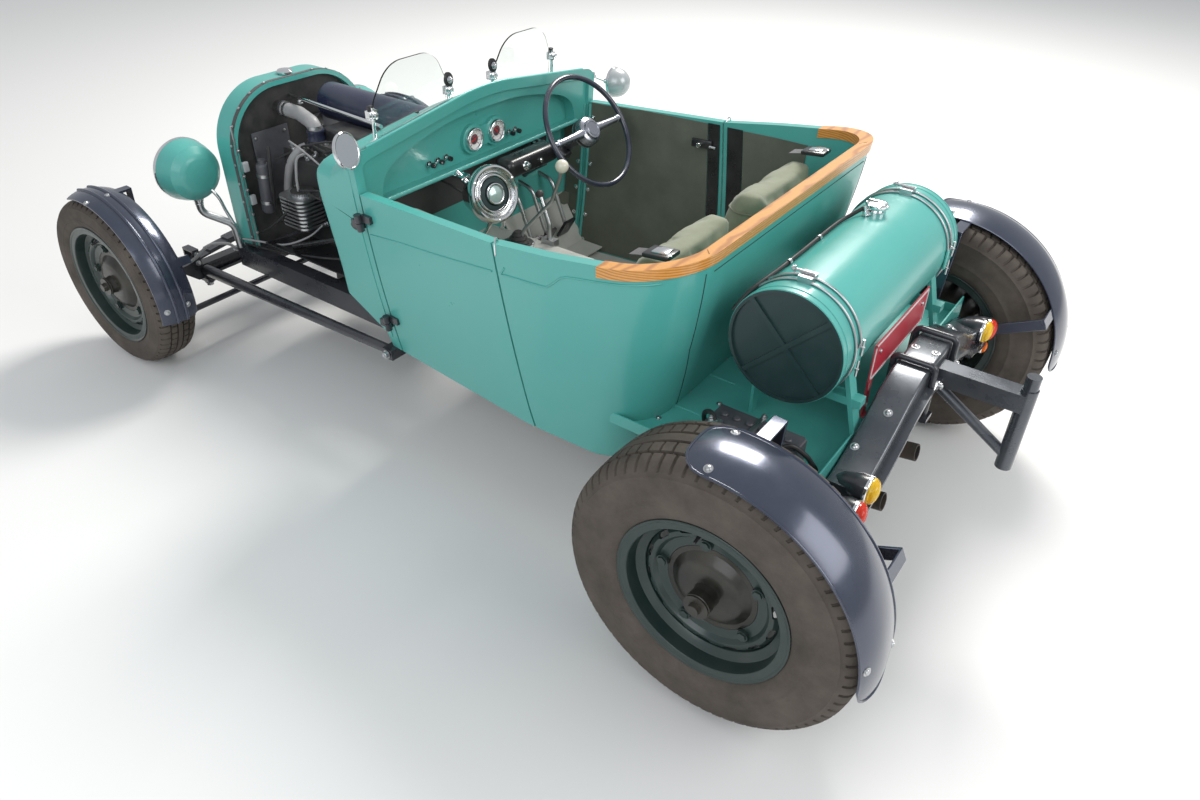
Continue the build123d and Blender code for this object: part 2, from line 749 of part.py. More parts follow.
core_x = (radiator_x + 26, radiator_x + radiator_depth - 10)
core_depth = core_x[1] - core_x[0]
core_half = shell_half_width - shell_wall - fit_gap
core = extrude(Plane.YZ * shell_face(shell_wall + fit_gap, rail_top), core_depth)
fin_count = 22
fin_top = shell_top - 190
fin_pitch = (fin_top - rail_top - 60) / fin_count
for i in range(fin_count):
    z = rail_top + 45 + i * fin_pitch
    groove = (z, z + fin_pitch * 0.5)
    core -= block((core_depth - 8, core_depth + 2), (-core_half + 40, core_half - 40), groove)
core = core.moved(Location((core_x[0], 0, 0)))
neck = bar((core_x[0] - 32, 70, shell_top - 95), (core_x[0] + 4, 70, shell_top - 95), 21)
core = core + neck
pieces["radiator"] = core - frame - shell

# Engine: one plain block inside, with the pieces that show on it
engine_x = (1500.0, radiator_x - 130)
engine_length = engine_x[1] - engine_x[0]
engine_top = 690.0
engine = block(engine_x, (-150, 150), (rail_top - 60, engine_top))
engine = chamfer(engine.edges().filter_by(Axis.X).group_by(Axis.Z)[-1], 26)
sump = block((engine_x[0] + 40, engine_x[1] - 60), (-110, 110), (190, rail_top - 60))
bell = bar((engine_x[0], 0, 430), (1412, 0, 430), 160, 92)
gearbox = bar((1412, 0, 430), (gearbox_rear_x, 0, 376), 84, 52)
mount_x = engine_x[0] + engine_length / 2 - 60
mount_left = block((mount_x, mount_x + 80), (140, rail_inner), (rail_top - 60, rail_top - 20))
engine_all = engine + sump + bell + gearbox + mount_left + mirrored(mount_left) - shaft
head = block((engine_x[0] + 30, engine_x[1] - 30), (-80, 120), (engine_top, engine_top + 40))
engine_all = engine_all + fillet(head.edges().filter_by(Axis.Z), 20)
pieces["engine"] = engine_all - frame - cowl

fin_part = None
fin_x = (engine_x[1] - 140, engine_x[1] - 10)
fin_middle = engine_x[1] - 78
for i in range(8):
    z = 470 + i * 14
    fin = fillet(block(fin_x, (150, 262), (z, z + 7)).edges().filter_by(Axis.Z), 30)
    fin_part = fin if fin_part is None else fin_part + fin
fin_part += bar((fin_middle, 200, 462), (fin_middle, 200, 588), 40)
fin_part += block((fin_middle - 32, fin_middle + 28), (140, 200), (490, 560))
fin_part -= engine_all

pulley_z = 520.0
fan_x = engine_x[1] + 40
fan = bar((engine_x[1], 0, pulley_z + 60), (fan_x, 0, pulley_z + 60), 26)
fan += bar((fan_x - 26, 0, pulley_z + 60), (fan_x, 0, pulley_z + 60), 62)
fan += bar((engine_x[1], 0, 380), (fan_x, 0, 380), 70)
for i in range(6):
    blade = Rot(i * 60, 0, 0) * Rot(0, 0, 0) * Pos(0, 0, 118) * Rot(0, 0, 28) * Box(4, 56, 150)
    fan += blade.moved(Location((fan_x - 8, 0, pulley_z + 60)))
fan -= engine_all

hose = bent_bar(
    (
        (engine_x[1] - 60, 90, engine_top + 30),
        (engine_x[1] - 60, 90, engine_top + 92),
        (engine_x[1] + 40, 70, engine_top + 104),
        (core_x[0] - 30, 70, shell_top - 95),
    ),
    24,
    30,
)
hose = hose - core - engine_all

air_y = -96.0
air_z = engine_top + 104
air_radius = 64.0
air = bar((engine_x[0] - 20, air_y, air_z), (radiator_x - 50, air_y, air_z), air_radius)
air = fillet(air.edges().filter_by(GeomType.CIRCLE), 14)
air_part = air
for x in (engine_x[0] + 100, engine_x[1] - 120):
    air_part += block((x - 15, x + 15), (air_y - 50, air_y + 50), (engine_top + 30, air_z))
air_part = air_part - engine_all - shell - core
pieces["engine_fittings"] = group(fin_part, fan, hose, air_part)

manifold = None
for i in range(4):
    x = engine_x[0] + 90 + i * (engine_length - 190) / 3
    port_z = engine_top - 70
    stub = bent_bar(((x, -140, port_z), (x, -200, port_z), (x, -200, engine_top - 150)), 20, 28)
    manifold = stub if manifold is None else manifold + stub
manifold += bar((engine_x[0] + 60, -200, engine_top - 150), (engine_x[1] - 70, -200, engine_top - 150), 28)
pipe_z = 214.0
tail_y = 125.0
main_pipe = bent_bar(
    (
        (engine_x[0] + 80, -200, engine_top - 150),
        (engine_x[0] + 60, -200, pipe_z),
        (620, -200, pipe_z),
        (420, -tail_y, pipe_z),
        (60, -tail_y, pipe_z),
        (-168, -tail_y, 250),
    ),
    25,
    55,
)
branch = bent_bar(
    (
        (760, -200, pipe_z),
        (640, tail_y, pipe_z),
        (60, tail_y, pipe_z),
        (-168, tail_y, 250),
    ),
    25,
    55,
)
exhaust = main_pipe + branch
for y in (-tail_y, tail_y):
    exhaust -= bar((-130, y, 244.0), (-180, y, 251.9), 21)
pieces["exhaust"] = manifold + exhaust - engine_all

stay = bar((radiator_x + 40, 10, 822), (1380, 296, 948), 5.5)
stay = stay - shell - core - cowl

# Headlamps on curved brackets from the front crossmember
lamp_profile = (
    (0, 0),
    (0, 30),
    (8, 62),
    (34, 92),
    (72, lamp_radius - 4),
    (104, lamp_radius),
    (104, 0),
)
lamp_shape = revolve(Plane.XY * face_of(lamp_profile), Axis.X, 360)
lamp_shape = lamp_shape.moved(Location((lamp_x - 84, lamp_y, lamp_z)))
cup_profile = ((16, 0), (24, 50), (48, 78), (104, 92), (106, 92), (106, 0))
lamp_cup = revolve(Plane.XY * face_of(cup_profile), Axis.X, 360)
lamp_shape -= lamp_cup.moved(Location((lamp_x - 84, lamp_y, lamp_z)))
lens_profile = ((90, 0), (90, 90.8), (104, 92), (104, 97), (112, 97), (118, 70), (124, 36), (125, 0))
lens = revolve(Plane.XY * face_of(lens_profile), Axis.X, 360)
lens = lens.moved(Location((lamp_x - 84, lamp_y, lamp_z)))
lamp_bar = bent_bar(
    (
        (rail_front_x + 12, rail_y + 20, rail_top),
        (rail_front_x + 14, rail_y + 26, rail_top + 90),
        (lamp_x - 20, lamp_y, lamp_z - 150),
        (lamp_x - 20, lamp_y, lamp_z - 90),
    ),
    13,
    40,
)
pieces["front_stays"] = group(stay, both(lamp_bar - lamp_shape - frame))
pieces["headlamps"] = both(lamp_shape - lens)
pieces["headlamp_lenses"] = both(lens)

# Fuel tank across the back, with straps, brackets, filler and the deck below
tank_half = tank_length / 2
tank = bar((tank_x, -tank_half, tank_z), (tank_x, tank_half, tank_z), tank_radius)
rim_ring = tank - bar((tank_x, -tank_half - 1, tank_z), (tank_x, -tank_half + 8, tank_z), tank_radius - 7)
rim_ring -= bar((tank_x, tank_half - 8, tank_z), (tank_x, tank_half + 1, tank_z), tank_radius - 7)
for y in (-tank_half + 5, tank_half - 5):
    for angle in (45, -45):
        rib = Rot(0, angle, 0) * Box(2 * tank_radius - 10, 6, 12)
        rim_ring += rib.moved(Location((tank_x, y, tank_z)))
filler_y = -130.0
filler_x = tank_x + 18
tank_crown = tank_z + tank_radius
filler = bar((filler_x, filler_y, tank_z), (filler_x, filler_y, tank_crown + 8), 24)
filler += bar((filler_x, filler_y, tank_crown), (filler_x, filler_y, tank_crown + 20), 17)
filler -= tank
pieces["fuel_tank"] = rim_ring + filler

deck_z = rail_rear_top
deck_half = 520.0
battery_x = (-32.0, 188.0)
battery_y = (395.0, 508.0)
battery_z = (402.0, 562.0)
tray = block((rail_rear_x, 420), (-deck_half, deck_half), (deck_z, deck_z + deck_thickness))
side_lip = block((rail_rear_x, 420), (deck_half - 4, deck_half), (deck_z, deck_z + 30))
rear_lip = block((rail_rear_x, rail_rear_x + 4), (-deck_half, deck_half), (deck_z, deck_z + 62))
tray = tray + side_lip + mirrored(side_lip) + rear_lip
tray += block((battery_x[0] - 5, battery_x[1] + 5), (battery_y[0] - 5, battery_y[1] + 5),
              (battery_z[0] - 3, deck_z))
tray -= block((battery_x[0] - 2, battery_x[1] + 2), (battery_y[0] - 2, battery_y[1] + 2),
              (battery_z[0], far))

cradle = None
bracket_y = strap_y - 30
for y in (-bracket_y, bracket_y):
    leg = block((tank_x + 92, tank_x + 100), (y - 16, y + 16), (deck_z + deck_thickness, tank_z))
    cradle = leg if cradle is None else cradle + leg
    tank_low = tank_z - tank_radius
    cradle += block((rail_rear_x, tank_x + 100), (y - 16, y + 16), (tank_low - 8, tank_low + 12))
    rear_leg = side_plate(
        (
            (rail_rear_x, deck_z + 50),
            (rail_rear_x, deck_z + 66),
            (tank_x - tank_radius + 14, tank_z - 46),
            (tank_x - tank_radius + 22, tank_z - 60),
            (rail_rear_x + 8, deck_z + 50),
        ),
        (y - 17, y + 17),
    )
    cradle += rear_leg
cradle = cradle - pieces["fuel_tank"] - tank
for y in (-clamp_y, clamp_y):
    tray -= bar((clamp_x[1], y, deck_z - 20), (clamp_x[1], y, deck_z + 90), 11)
    tray -= block((clamp_x[1] - 20, clamp_x[1] + 20), (y - 26, y + 26), (deck_z + 14, deck_z + 90))
pieces["rear_deck"] = (tray - outer - crossmember - frame) + (cradle - crossmember)

strap = None
for y in (-strap_y, strap_y):
    for shift in (-13, 13):
        ring = Pos(tank_x, y + shift, tank_z) * Rot(90, 0, 0) * Torus(tank_radius + 3.2, 3)
        strap = ring if strap is None else strap + ring
    strap += block((tank_x - 16, tank_x + 16), (y - 18, y + 18),
                   (tank_z + tank_radius, tank_z + tank_radius + 14))
pieces["tank_straps"] = strap - tank - cradle

# Battery, number plate and tail lamps
battery = block(battery_x, battery_y, battery_z)
battery = chamfer(battery.edges().group_by(Axis.Z)[-1], 4)
for x in (battery_x[0] + 30, battery_x[1] - 30):
    battery += bar((x, battery_y[1] - 30, battery_z[1] - 1), (x, battery_y[1] - 30, battery_z[1] + 14), 9)
pieces["battery"] = battery

plate_x = rail_rear_x + 20
plate_y = (-166.0, 192.0)
plate_z = (622.0, 722.0)
number_plate = block((plate_x, plate_x + 3), plate_y, plate_z)
for y in (plate_y[0] + 30, plate_y[1] - 30):
    number_plate += block((plate_x + 3, plate_x + 8), (y - 12, y + 12), (deck_z + 30, plate_z[0] + 30))
    number_plate += block((rail_rear_x + 4, plate_x + 8), (y - 12, y + 12), (deck_z + 30, deck_z + 35))
number_plate = number_plate - crossmember - rear_lip
pieces["number_plate"] = number_plate - bar((tank_x, -far, tank_z), (tank_x, far, tank_z), tank_radius + 8)

# y, height, radius and length of the amber lamp, the red lamp and the reflector
lamp_rows = (
    (415.0, 510.0, 32.0, 82.0),
    (478.0, 486.0, 32.0, 82.0),
    (472.0, 431.0, 19.0, 32.0),
)
lamp_face = cross_x[0] - 8
bodies = None
lenses = []
for y, z, radius, length in lamp_rows:
    place = Location((lamp_face, y, z))
    profile = ((0, 0), (0, radius), (length * 0.25, radius), (length * 0.75, radius * 0.6), (length, 0))
    shape = revolve(Plane.XY * face_of(profile), Axis.X, 360).moved(place)
    bodies = shape if bodies is None else bodies + shape
    depth = radius * 0.75
    profile = ((0, 0), (0, radius - 1), (-depth / 2, radius - 2), (-depth * 0.85, radius * 0.7), (-depth, 0))
    lenses.append(revolve(Plane.XY * face_of(profile), Axis.X, 360).moved(place))
bodies += block((cross_x[0] + 10, cross_x[0] + 17), (crossmember_half - 40, 506), (430, 486))
pieces["tail_lamp_bodies"] = both(bodies - crossmember - rear_leaf)
pieces["tail_lamp_lenses"] = both(group(*lenses))

# Cockpit: seats, dash, steering, levers and pedals
seat_z = rail_top + floor_thickness
seat_top = seat_z + 150
seat = block((440, 820), (-430, 430), (seat_z, seat_top))
seat = fillet(seat.edges().filter_by(Axis.Y).group_by(Axis.Z)[-1], 30)
seat = (seat & body_form(body_wall + 6)) - pieces["floor"] - shaft_room
backs = []
back_low = seat_top + fit_gap
back_side = ((440, back_low), (560, back_low), (450, 905), (412, 938), (372, 940), (340, 915))
for side_name, side in SIDES:
    back = side_plate(back_side, (40, 440))
    back = fillet(back.edges().filter_by(Axis.Y).group_by(Axis.Z)[-1], 22)
    back = back & body_form(body_wall + 8)
    backs.append(on_side(back, side))
pieces["seats"] = group(seat, *backs)


def dash_arch(inset):
    """The outline of the dash's recess, drawn in by the inset."""
    rows = ((432, dash_bottom + inset), (418, 866), (300, 927 - inset), (120, 957 - inset), (0, 960 - inset))
    right = [(y - inset if y > 150 else y, z) for y, z in rows]
    points = [(-y, z) for y, z in right] + [(y, z) for y, z in right[-2::-1]]
    arch = Spline(*points)
    return make_face([arch, Line(arch @ 1, arch @ 0)])


dash_room = block((dash_x, dash_x + dash_sheet), (-far, far), (dash_bottom, far))
dash = (inner & crown_form(body_wall)) & dash_room
recess = (dash_x, dash_x + dash_depth)
hollow = extrude(Plane.YZ * dash_arch(dash_sheet), dash_depth).moved(Location((recess[0], 0, 0)))
sleeve = extrude(Plane.YZ * dash_arch(0), dash_depth).moved(Location((recess[0], 0, 0)))
panel = extrude(Plane.YZ * dash_arch(0), dash_sheet).moved(Location((recess[1], 0, 0)))
dash = (dash + sleeve) - hollow + panel
lip = bar((dash_x - 1, -440, dash_bottom + 3), (dash_x - 1, 440, dash_bottom + 3), 7)
dash = (dash + lip) - cowl
gauge_y = (38.0, -62.0)
gauge_z = 864.0
pod_face = recess[1] - 12
pod = None
for y in gauge_y:
    ring = bar((pod_face, y, gauge_z), (recess[1] + 1, y, gauge_z), gauge_radius + 13)
    pod = ring if pod is None else pod + ring
pod += block((pod_face, recess[1] + 1), (gauge_y[1], gauge_y[0]), (gauge_z - 30, gauge_z + 30))
dash += pod
for y in gauge_y:
    dash -= bar((pod_face - 10, y, gauge_z), (recess[1] + 20, y, gauge_z), gauge_radius + fit_gap)
pieces["dash"] = dash
gauges = []
for y in gauge_y:
    body = bar((pod_face - 2, y, gauge_z), (recess[1] + 34, y, gauge_z), gauge_radius)
    bezel = bar((pod_face - 7, y, gauge_z), (pod_face, y, gauge_z), gauge_radius + 4)
    dial = bar((pod_face - 9, y, gauge_z), (pod_face - 3, y, gauge_z), gauge_radius - 3)
    gauges.append(body + bezel - dial)

column_end = column_point(1755.0)
column_start = column_point(column_top[0] + 22)
column_tube = bar(column_start, column_end, column_radius)
column_tube += block((1690, 1800), (-rail_outer + 4, -rail_inner + 60), (rail_top, rail_top + 74))
column_tube += block((dash_x + 8, dash_x + 32), (column_y - 26, column_y + 26), (690, dash_bottom))
column_tube -= bar(column_top, column_point(1500.0), shaft_radius + pin_gap)
pieces["steering_column"] = column_tube - engine_all - frame - pieces["dash"]

wheel_plane = Plane(column_top, x_dir=(0, 1, 0), z_dir=(-1, 0, column_slope))
wheel_rim = Torus(steering_wheel_radius - 10, 10)
spokes = Box(2 * steering_wheel_radius - 20, 20, 7)
boss = Pos(0, 0, -10) * Cylinder(44, 44) + Pos(0, 0, 14) * Cylinder(30, 14)
wheel_shape = wheel_plane * (wheel_rim + spokes + boss)
wheel_shape += bar(column_point(column_top[0] + 10), column_point(1480.0), shaft_radius)
clear_tube = bar(column_point(column_top[0] + 21), column_point(1480.0), column_radius + 40)
clear_tube -= bar(column_point(column_top[0] + 20), column_point(1480.0), shaft_radius + 0.02)
pieces["steering_wheel"] = wheel_shape - clear_tube

lever_ball = (972.0, -6.0, 836.0)
lever = bent_bar(((1150, 0, 530), (1120, 0, 600), (1010, -2, 720), (980, -6, 800), lever_ball), 5.5, 40)
lever += Pos(*lever_ball) * Sphere(20)
lever += Pos(1150, 0, 538) * Cone(40, 14, 34, align=(Align.CENTER, Align.CENTER, Align.MIN))
lever -= pieces["floor"]
brake_lever = bent_bar(((1075, -70, 530), (1075, -70, 600), (1120, -80, 690)), 8, 30)
brake_lever += Pos(1120, -80, 690) * Sphere(13)
brake_lever += block((1050, 1100), (-84, -56), (536, 556))
brake_lever -= pieces["floor"]

pedals = []
for y in (-150.0, -225.0, -330.0):
    arm = bent_bar(((1352, y, 640), (1275, y, 620), (1215, y, 470)), 7, 40)
    pad = Plane((1213, y, 462), z_dir=(1, 0, 0.6)) * Box(70, 56, 10)
    pedals.append(arm + pad)
pieces["levers"] = group(lever, brake_lever, *[pedal - cowl for pedal in pedals])

cup_axis = Vector(-0.86, 0.16, 0.30).normalized()
cup_middle = Vector(1104, 152, 770)
cup_plane = Plane(cup_middle, z_dir=cup_axis)
profile = (
    (0, -96),
    (34, -96),
    (52, -78),
    (66, -40),
    (70, -8),
    (79, -8),
    (81, 0),
    (76, 12),
    (70, 12),
    (70, 6),
    (0, 6),
)
cup = cup_plane * revolve(Plane.XZ * face_of(profile), Axis.Z, 360)
cup += bar((1175, 152, 762), (1240, 152, dash_bottom + 2), 9)
cup += block((1205, dash_x + 22), (134, 170), (dash_bottom - 8, dash_bottom))
pieces["dash_fittings"] = group(*gauges, cup - pieces["dash"])

# Aero screens on their strips, and the mirrors on the cowl's corners
screens = []
strips = []
screen_half = 137.0
# y and height of each screen's top above the cowl's peak
screen_rows = ((247.0, 132.0), (-226.0, 112.0))
foot_form = crown_form(-6)
for y, rise in screen_rows:
    screen = face_of(((-screen_half, -70), (-screen_half, rise - 95), (-screen_half * 0.62, rise),
                      (screen_half * 0.62, rise), (screen_half, rise - 95), (screen_half, -70)))
    screen = fillet([v for v in screen.vertices() if v.Y > rise - 10], 84)
    screen = fillet([v for v in screen.vertices() if -60 < v.Y < rise - 60], 60)
    plate = Rot(0, -8, 0) * extrude(Plane.YZ * screen, 5)
    plate = plate.moved(Location((1298, y, scuttle_peak - 6))) - crown_form(0)
    strip = foot_form & block((1285, 1312), (y - screen_half - 12, y + screen_half + 12), (0, far))
    for edge in (-screen_half - 6, screen_half + 6):
        strip += bar((1298, y + edge, scuttle_peak - 90), (1293, y + edge, scuttle_peak + 22), 5)
        strip += block((1291, 1307), (y + edge - 14, y + edge + 14), (scuttle_peak - 8, scuttle_peak + 14))
    strips.append(strip - crown_form(0) - plate)
    screens.append(plate)
pieces["aero_screens"] = group(*screens)
pieces["screen_strips"] = group(*strips) - pieces["cowl"]

# x, y and height of each mirror, its foot on the cowl and its shell's depth
mirror_rows = (
    (1250.0, 548.0, 978.0, (1264.0, 498.0, 925.0), 14.0),
    (1212.0, -624.0, 892.0, (1262.0, -500.0, 935.0), 62.0),
)
mirrors = None
for x, y, z, foot, depth in mirror_rows:
    shell_part = bar((x - 6, y, z), (x + depth * 0.35, y, z), 46)
    shell_part += bar((x + depth * 0.35, y, z), (x + depth, y, z), 46, 24)
    piece = shell_part + bar(foot, (x + depth * 0.3, y, z), 5.5)
    mirrors = piece if mirrors is None else mirrors + piece
pieces["mirrors"] = mirrors - cowl

# Each piece moves so that the middle of the car's length is over the origin
front_end = wheelbase + front_tyre_radius
rear_end = post_x - post_radius
middle_x = (front_end + rear_end) / 2
os.makedirs("parts", exist_ok=True)
for name, solid in pieces.items():
    export_step(Pos(-middle_x, 0, 0) * solid, f"parts/{name}.step")
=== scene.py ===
"""Dresses the open hot rod: camera, light, finishes and the pieces that only the picture needs."""

from __future__ import annotations

import json
import logging
import math
from dataclasses import dataclass, field
from enum import Enum
from typing import Callable, Iterable, Sequence

import bmesh
import bpy
from mathutils import Matrix, Vector
from mathutils.bvhtree import BVHTree
from mathutils.geometry import interpolate_bezier

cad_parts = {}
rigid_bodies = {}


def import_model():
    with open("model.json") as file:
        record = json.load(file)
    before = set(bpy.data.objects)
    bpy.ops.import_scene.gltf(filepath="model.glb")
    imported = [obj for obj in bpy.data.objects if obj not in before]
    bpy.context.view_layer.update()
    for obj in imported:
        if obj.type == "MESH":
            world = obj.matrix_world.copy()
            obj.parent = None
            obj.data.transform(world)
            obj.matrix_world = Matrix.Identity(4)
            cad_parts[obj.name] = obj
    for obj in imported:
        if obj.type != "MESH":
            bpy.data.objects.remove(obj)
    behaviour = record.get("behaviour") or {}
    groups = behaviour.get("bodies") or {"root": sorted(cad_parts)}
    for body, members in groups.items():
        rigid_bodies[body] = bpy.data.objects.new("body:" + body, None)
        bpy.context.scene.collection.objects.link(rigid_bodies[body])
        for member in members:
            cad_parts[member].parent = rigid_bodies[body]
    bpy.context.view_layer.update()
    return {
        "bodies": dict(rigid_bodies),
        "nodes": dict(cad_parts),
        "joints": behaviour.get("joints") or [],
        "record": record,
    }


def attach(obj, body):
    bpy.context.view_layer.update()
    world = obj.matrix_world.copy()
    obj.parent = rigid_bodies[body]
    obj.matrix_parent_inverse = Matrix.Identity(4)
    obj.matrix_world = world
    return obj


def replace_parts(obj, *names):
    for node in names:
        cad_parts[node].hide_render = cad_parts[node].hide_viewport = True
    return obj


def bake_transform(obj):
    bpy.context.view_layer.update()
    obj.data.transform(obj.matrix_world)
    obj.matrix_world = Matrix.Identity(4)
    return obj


LOG = logging.getLogger("hot_rod")
Colour = tuple[float, float, float]
Point = tuple[float, float, float]
Pair = tuple[float, float]
Line = Sequence[Sequence[float]]
# A hose's or wire's radius and its bends
Run = tuple[float, tuple[Point, ...]]

# The rear axle's distance behind the frame's origin, in metres
MID_X = 1.139
# The axles' places and the wheels' sizes, in millimetres from the rear axle and the ground
FRONT_X = 2390.0
FRONT_WHEEL_Y, REAR_WHEEL_Y = 666.0, 692.0
FRONT_RADIUS, REAR_RADIUS = 300.0, 352.0
MM_PER_M = 1000
AHEAD, BACK, UP, DOWN, LEFT = (1, 0, 0), (-1, 0, 0), (0, 0, 1), (0, 0, -1), (0, 1, 0)


def at(x: float, y: float, z: float) -> Vector:
    """A point given in millimetres on the car's own lines, with X from the rear axle.

    Args:
        x: Distance ahead of the rear axle.
        y: Distance to the car's left.
        z: Height over the ground.

    Returns:
        The point in metres in the shared frame.
    """
    return Vector((x / MM_PER_M - MID_X, y / MM_PER_M, z / MM_PER_M))


def on_car(place: Vector) -> Vector:
    """The opposite of at: a point of the shared frame, in the car's millimetres.

    Args:
        place: The point in metres.

    Returns:
        The point in millimetres, with X from the rear axle.
    """
    return (place + Vector((MID_X, 0, 0))) * MM_PER_M


class Side(Enum):
    """The car's two sides, as the sign of Y."""

    LEFT = 1
    RIGHT = -1

    @property
    def word(self) -> str:
        """The side's name as the nodes use it."""
        return self.name.lower()

    @property
    def out(self) -> Point:
        """The direction away from the car's middle."""
        return (0, self.value, 0)

    @property
    def inward(self) -> Point:
        """The direction towards the car's middle."""
        return (0, -self.value, 0)


class Slot(Enum):
    """The record's material slots."""

    GREEN = "green_paint"
    BLACK = "black_paint"
    TYRE = "tyre"
    TIMBER = "timber"
    STEEL = "bright_steel"
    CHROME = "chrome"
    ENGINE = "engine_black"
    CORE = "core"
    LENS = "lens"
    SEAT = "vinyl"
    CARPET = "carpet"
    PLASTIC = "black_plastic"
    PLATE = "plate_red"


# Finishes


class Board:
    """A material's node tree with short calls for the nodes that the finishes share."""

    def __init__(self, name: str) -> None:
        """Makes an empty material with a shader and its output.

        Args:
            name: The material's name.
        """
        self.material = bpy.data.materials.new(name)
        self.material.use_nodes = True
        self.nodes = self.material.node_tree.nodes
        self.links = self.material.node_tree.links
        self.nodes.clear()
        self.output = self.nodes.new("ShaderNodeOutputMaterial")
        self.shader = self.nodes.new("ShaderNodeBsdfPrincipled")
        self.links.new(self.shader.outputs[0], self.output.inputs[0])
        self.place = self.nodes.new("ShaderNodeTexCoord").outputs["Object"]

    def feed(self, socket: bpy.types.NodeSocket, value: object) -> None:
        """Fills one socket.

        Args:
            socket: The socket.
            value: A number, a colour, a vector or another socket.
        """
        if isinstance(value, bpy.types.NodeSocket):
            self.links.new(value, socket)
        else:
            socket.default_value = (*value, 1.0) if socket.type == "RGBA" else value

    def shade(self, **values: object) -> None:
        """Fills the shader's sockets, whose names are written with underscores."""
        for key, value in values.items():
            self.feed(self.shader.inputs[key.replace("_", " ")], value)

    def node(self, kind: str, **values: object) -> bpy.types.ShaderNode:
        """Adds a node and fills its sockets.

        Args:
            kind: Its type, without ShaderNode.
            values: What its sockets take, by their names with underscores.

        Returns:
            The node.
        """
        made = self.nodes.new(f"ShaderNode{kind}")
        for key, value in values.items():
            self.feed(made.inputs[key.replace("_", " ")], value)
        return made

    def noise(self, scale: float, detail: float = 3.0, rough: float = 0.55, place: object = None) -> object:
        """A noise pattern's factor socket, over the object's own coordinates if no other place is given."""
        return self.node("TexNoise", Scale=scale, Detail=detail, Roughness=rough,
                         Vector=place or self.place).outputs["Fac"]

    def stretch(self, scale: Point) -> object:
        """The object's coordinates scaled along each axis."""
        return self.node("Mapping", Scale=scale, Vector=self.place).outputs["Vector"]

    def ramp(self, source: object, stops: Sequence[tuple[float, Colour]]) -> object:
        """A colour that follows a factor through the stops.

        Args:
            source: The factor's socket.
            stops: Positions from 0 to 1 with their colours.

        Returns:
            The colour's socket.
        """
        node = self.node("ValToRGB", Fac=source)
        ramp = node.color_ramp
        while len(ramp.elements) < len(stops):
            ramp.elements.new(0.5)
        for element, (position, colour) in zip(ramp.elements, stops):
            element.position = position
            element.color = (*colour, 1.0)
        return node.outputs["Color"]

    def span(self, source: object, low: float, high: float, start: float = 0.0, end: float = 1.0) -> object:
        """A factor moved from start..end to low..high."""
        return self.node("MapRange", From_Min=start, From_Max=end, To_Min=low, To_Max=high,
                         Value=source).outputs["Result"]

    def blend(self, factor: object, first: object, second: object) -> object:
        """Two colours, or colour sockets, mixed by a factor socket.

        Args:
            factor: The factor's socket.
            first: The colour, or colour socket, at 0.
            second: The one at 1.

        Returns:
            The colour's socket.
        """
        node = self.node("Mix")
        node.data_type = "RGBA"
        self.feed(node.inputs["Factor"], factor)
        for key, value in (("A", first), ("B", second)):
            self.feed(next(s for s in node.inputs if s.name == key and s.type == "RGBA"), value)
        return next(s for s in node.outputs if s.type == "RGBA")

    def tint(self, source: object, span: Sequence[float], first: object, second: object) -> object:
        """Two colours mixed by a pattern, whose span is low, high, start and end."""
        return self.blend(self.span(source, *span), first, second)

    def bump(self, source: object, strength: float, distance: float) -> None:
        """Adds a bump from a height socket, over any that is there.

        Args:
            source: The height's socket.
            strength: How strong it is, from 0 to 1.
            distance: How high it stands, in metres.
        """
        node = self.node("Bump", Strength=strength, Distance=distance, Height=source)
        normal = self.shader.inputs["Normal"]
        if normal.is_linked:
            self.feed(node.inputs["Normal"], normal.links[0].from_socket)
        self.feed(normal, node.outputs["Normal"])


@dataclass(frozen=True)
class Paint:
    """Paint with slow colour change, fine dust and a light ripple."""

    name: str
    colour: Colour
    dusty: Colour
    low: float = 0.32
    high: float = 0.5
    metallic: float = 0.0
    coat: float = 0.0
    dust_scale: float = 7.0
    dust_amount: float = 0.35
    ripple: float = 0.05
    ripple_scale: float = 60.0

    def build(self) -> bpy.types.Material:
        """The finished material.

        Returns:
            The material.
        """
        board = Board(self.name)
        cloud = board.noise(self.dust_scale, 5.0, 0.6)
        speck = board.noise(self.dust_scale * 55, 2.0, 0.7)
        base = board.tint(cloud, (0.0, self.dust_amount, 0.35, 0.75), self.colour, self.dusty)
        base = board.tint(speck, (0.0, self.dust_amount * 0.5, 0.55, 0.8), base, self.dusty)
        board.shade(Base_Color=base, Roughness=board.span(cloud, self.low, self.high, 0.3, 0.7),
                    Metallic=self.metallic, Coat_Weight=self.coat, Coat_Roughness=0.12)
        board.bump(board.noise(self.ripple_scale, 2.0), self.ripple, 0.002)
        board.bump(speck, self.ripple, 0.0004)
        return board.material


@dataclass(frozen=True)
class Metal:
    """Bare or plated metal with fine scratches and smudges."""

    name: str
    colour: Colour
    low: float = 0.12
    high: float = 0.32
    grime: Colour = (0.12, 0.11, 0.1)
    grime_amount: float = 0.25

    def build(self) -> bpy.types.Material:
        """The finished material.

        Returns:
            The material.
        """
        board = Board(self.name)
        smudge = board.noise(18.0, 4.0, 0.6)
        scratch = board.noise(1.0, 2.0, 0.5, board.stretch((900.0, 900.0, 60.0)))
        base = board.tint(smudge, (0.0, self.grime_amount, 0.5, 0.8), self.colour, self.grime)
        board.shade(Base_Color=base, Roughness=board.span(smudge, self.low, self.high, 0.3, 0.7), Metallic=1.0)
        board.bump(scratch, 0.04, 0.0003)
        return board.material


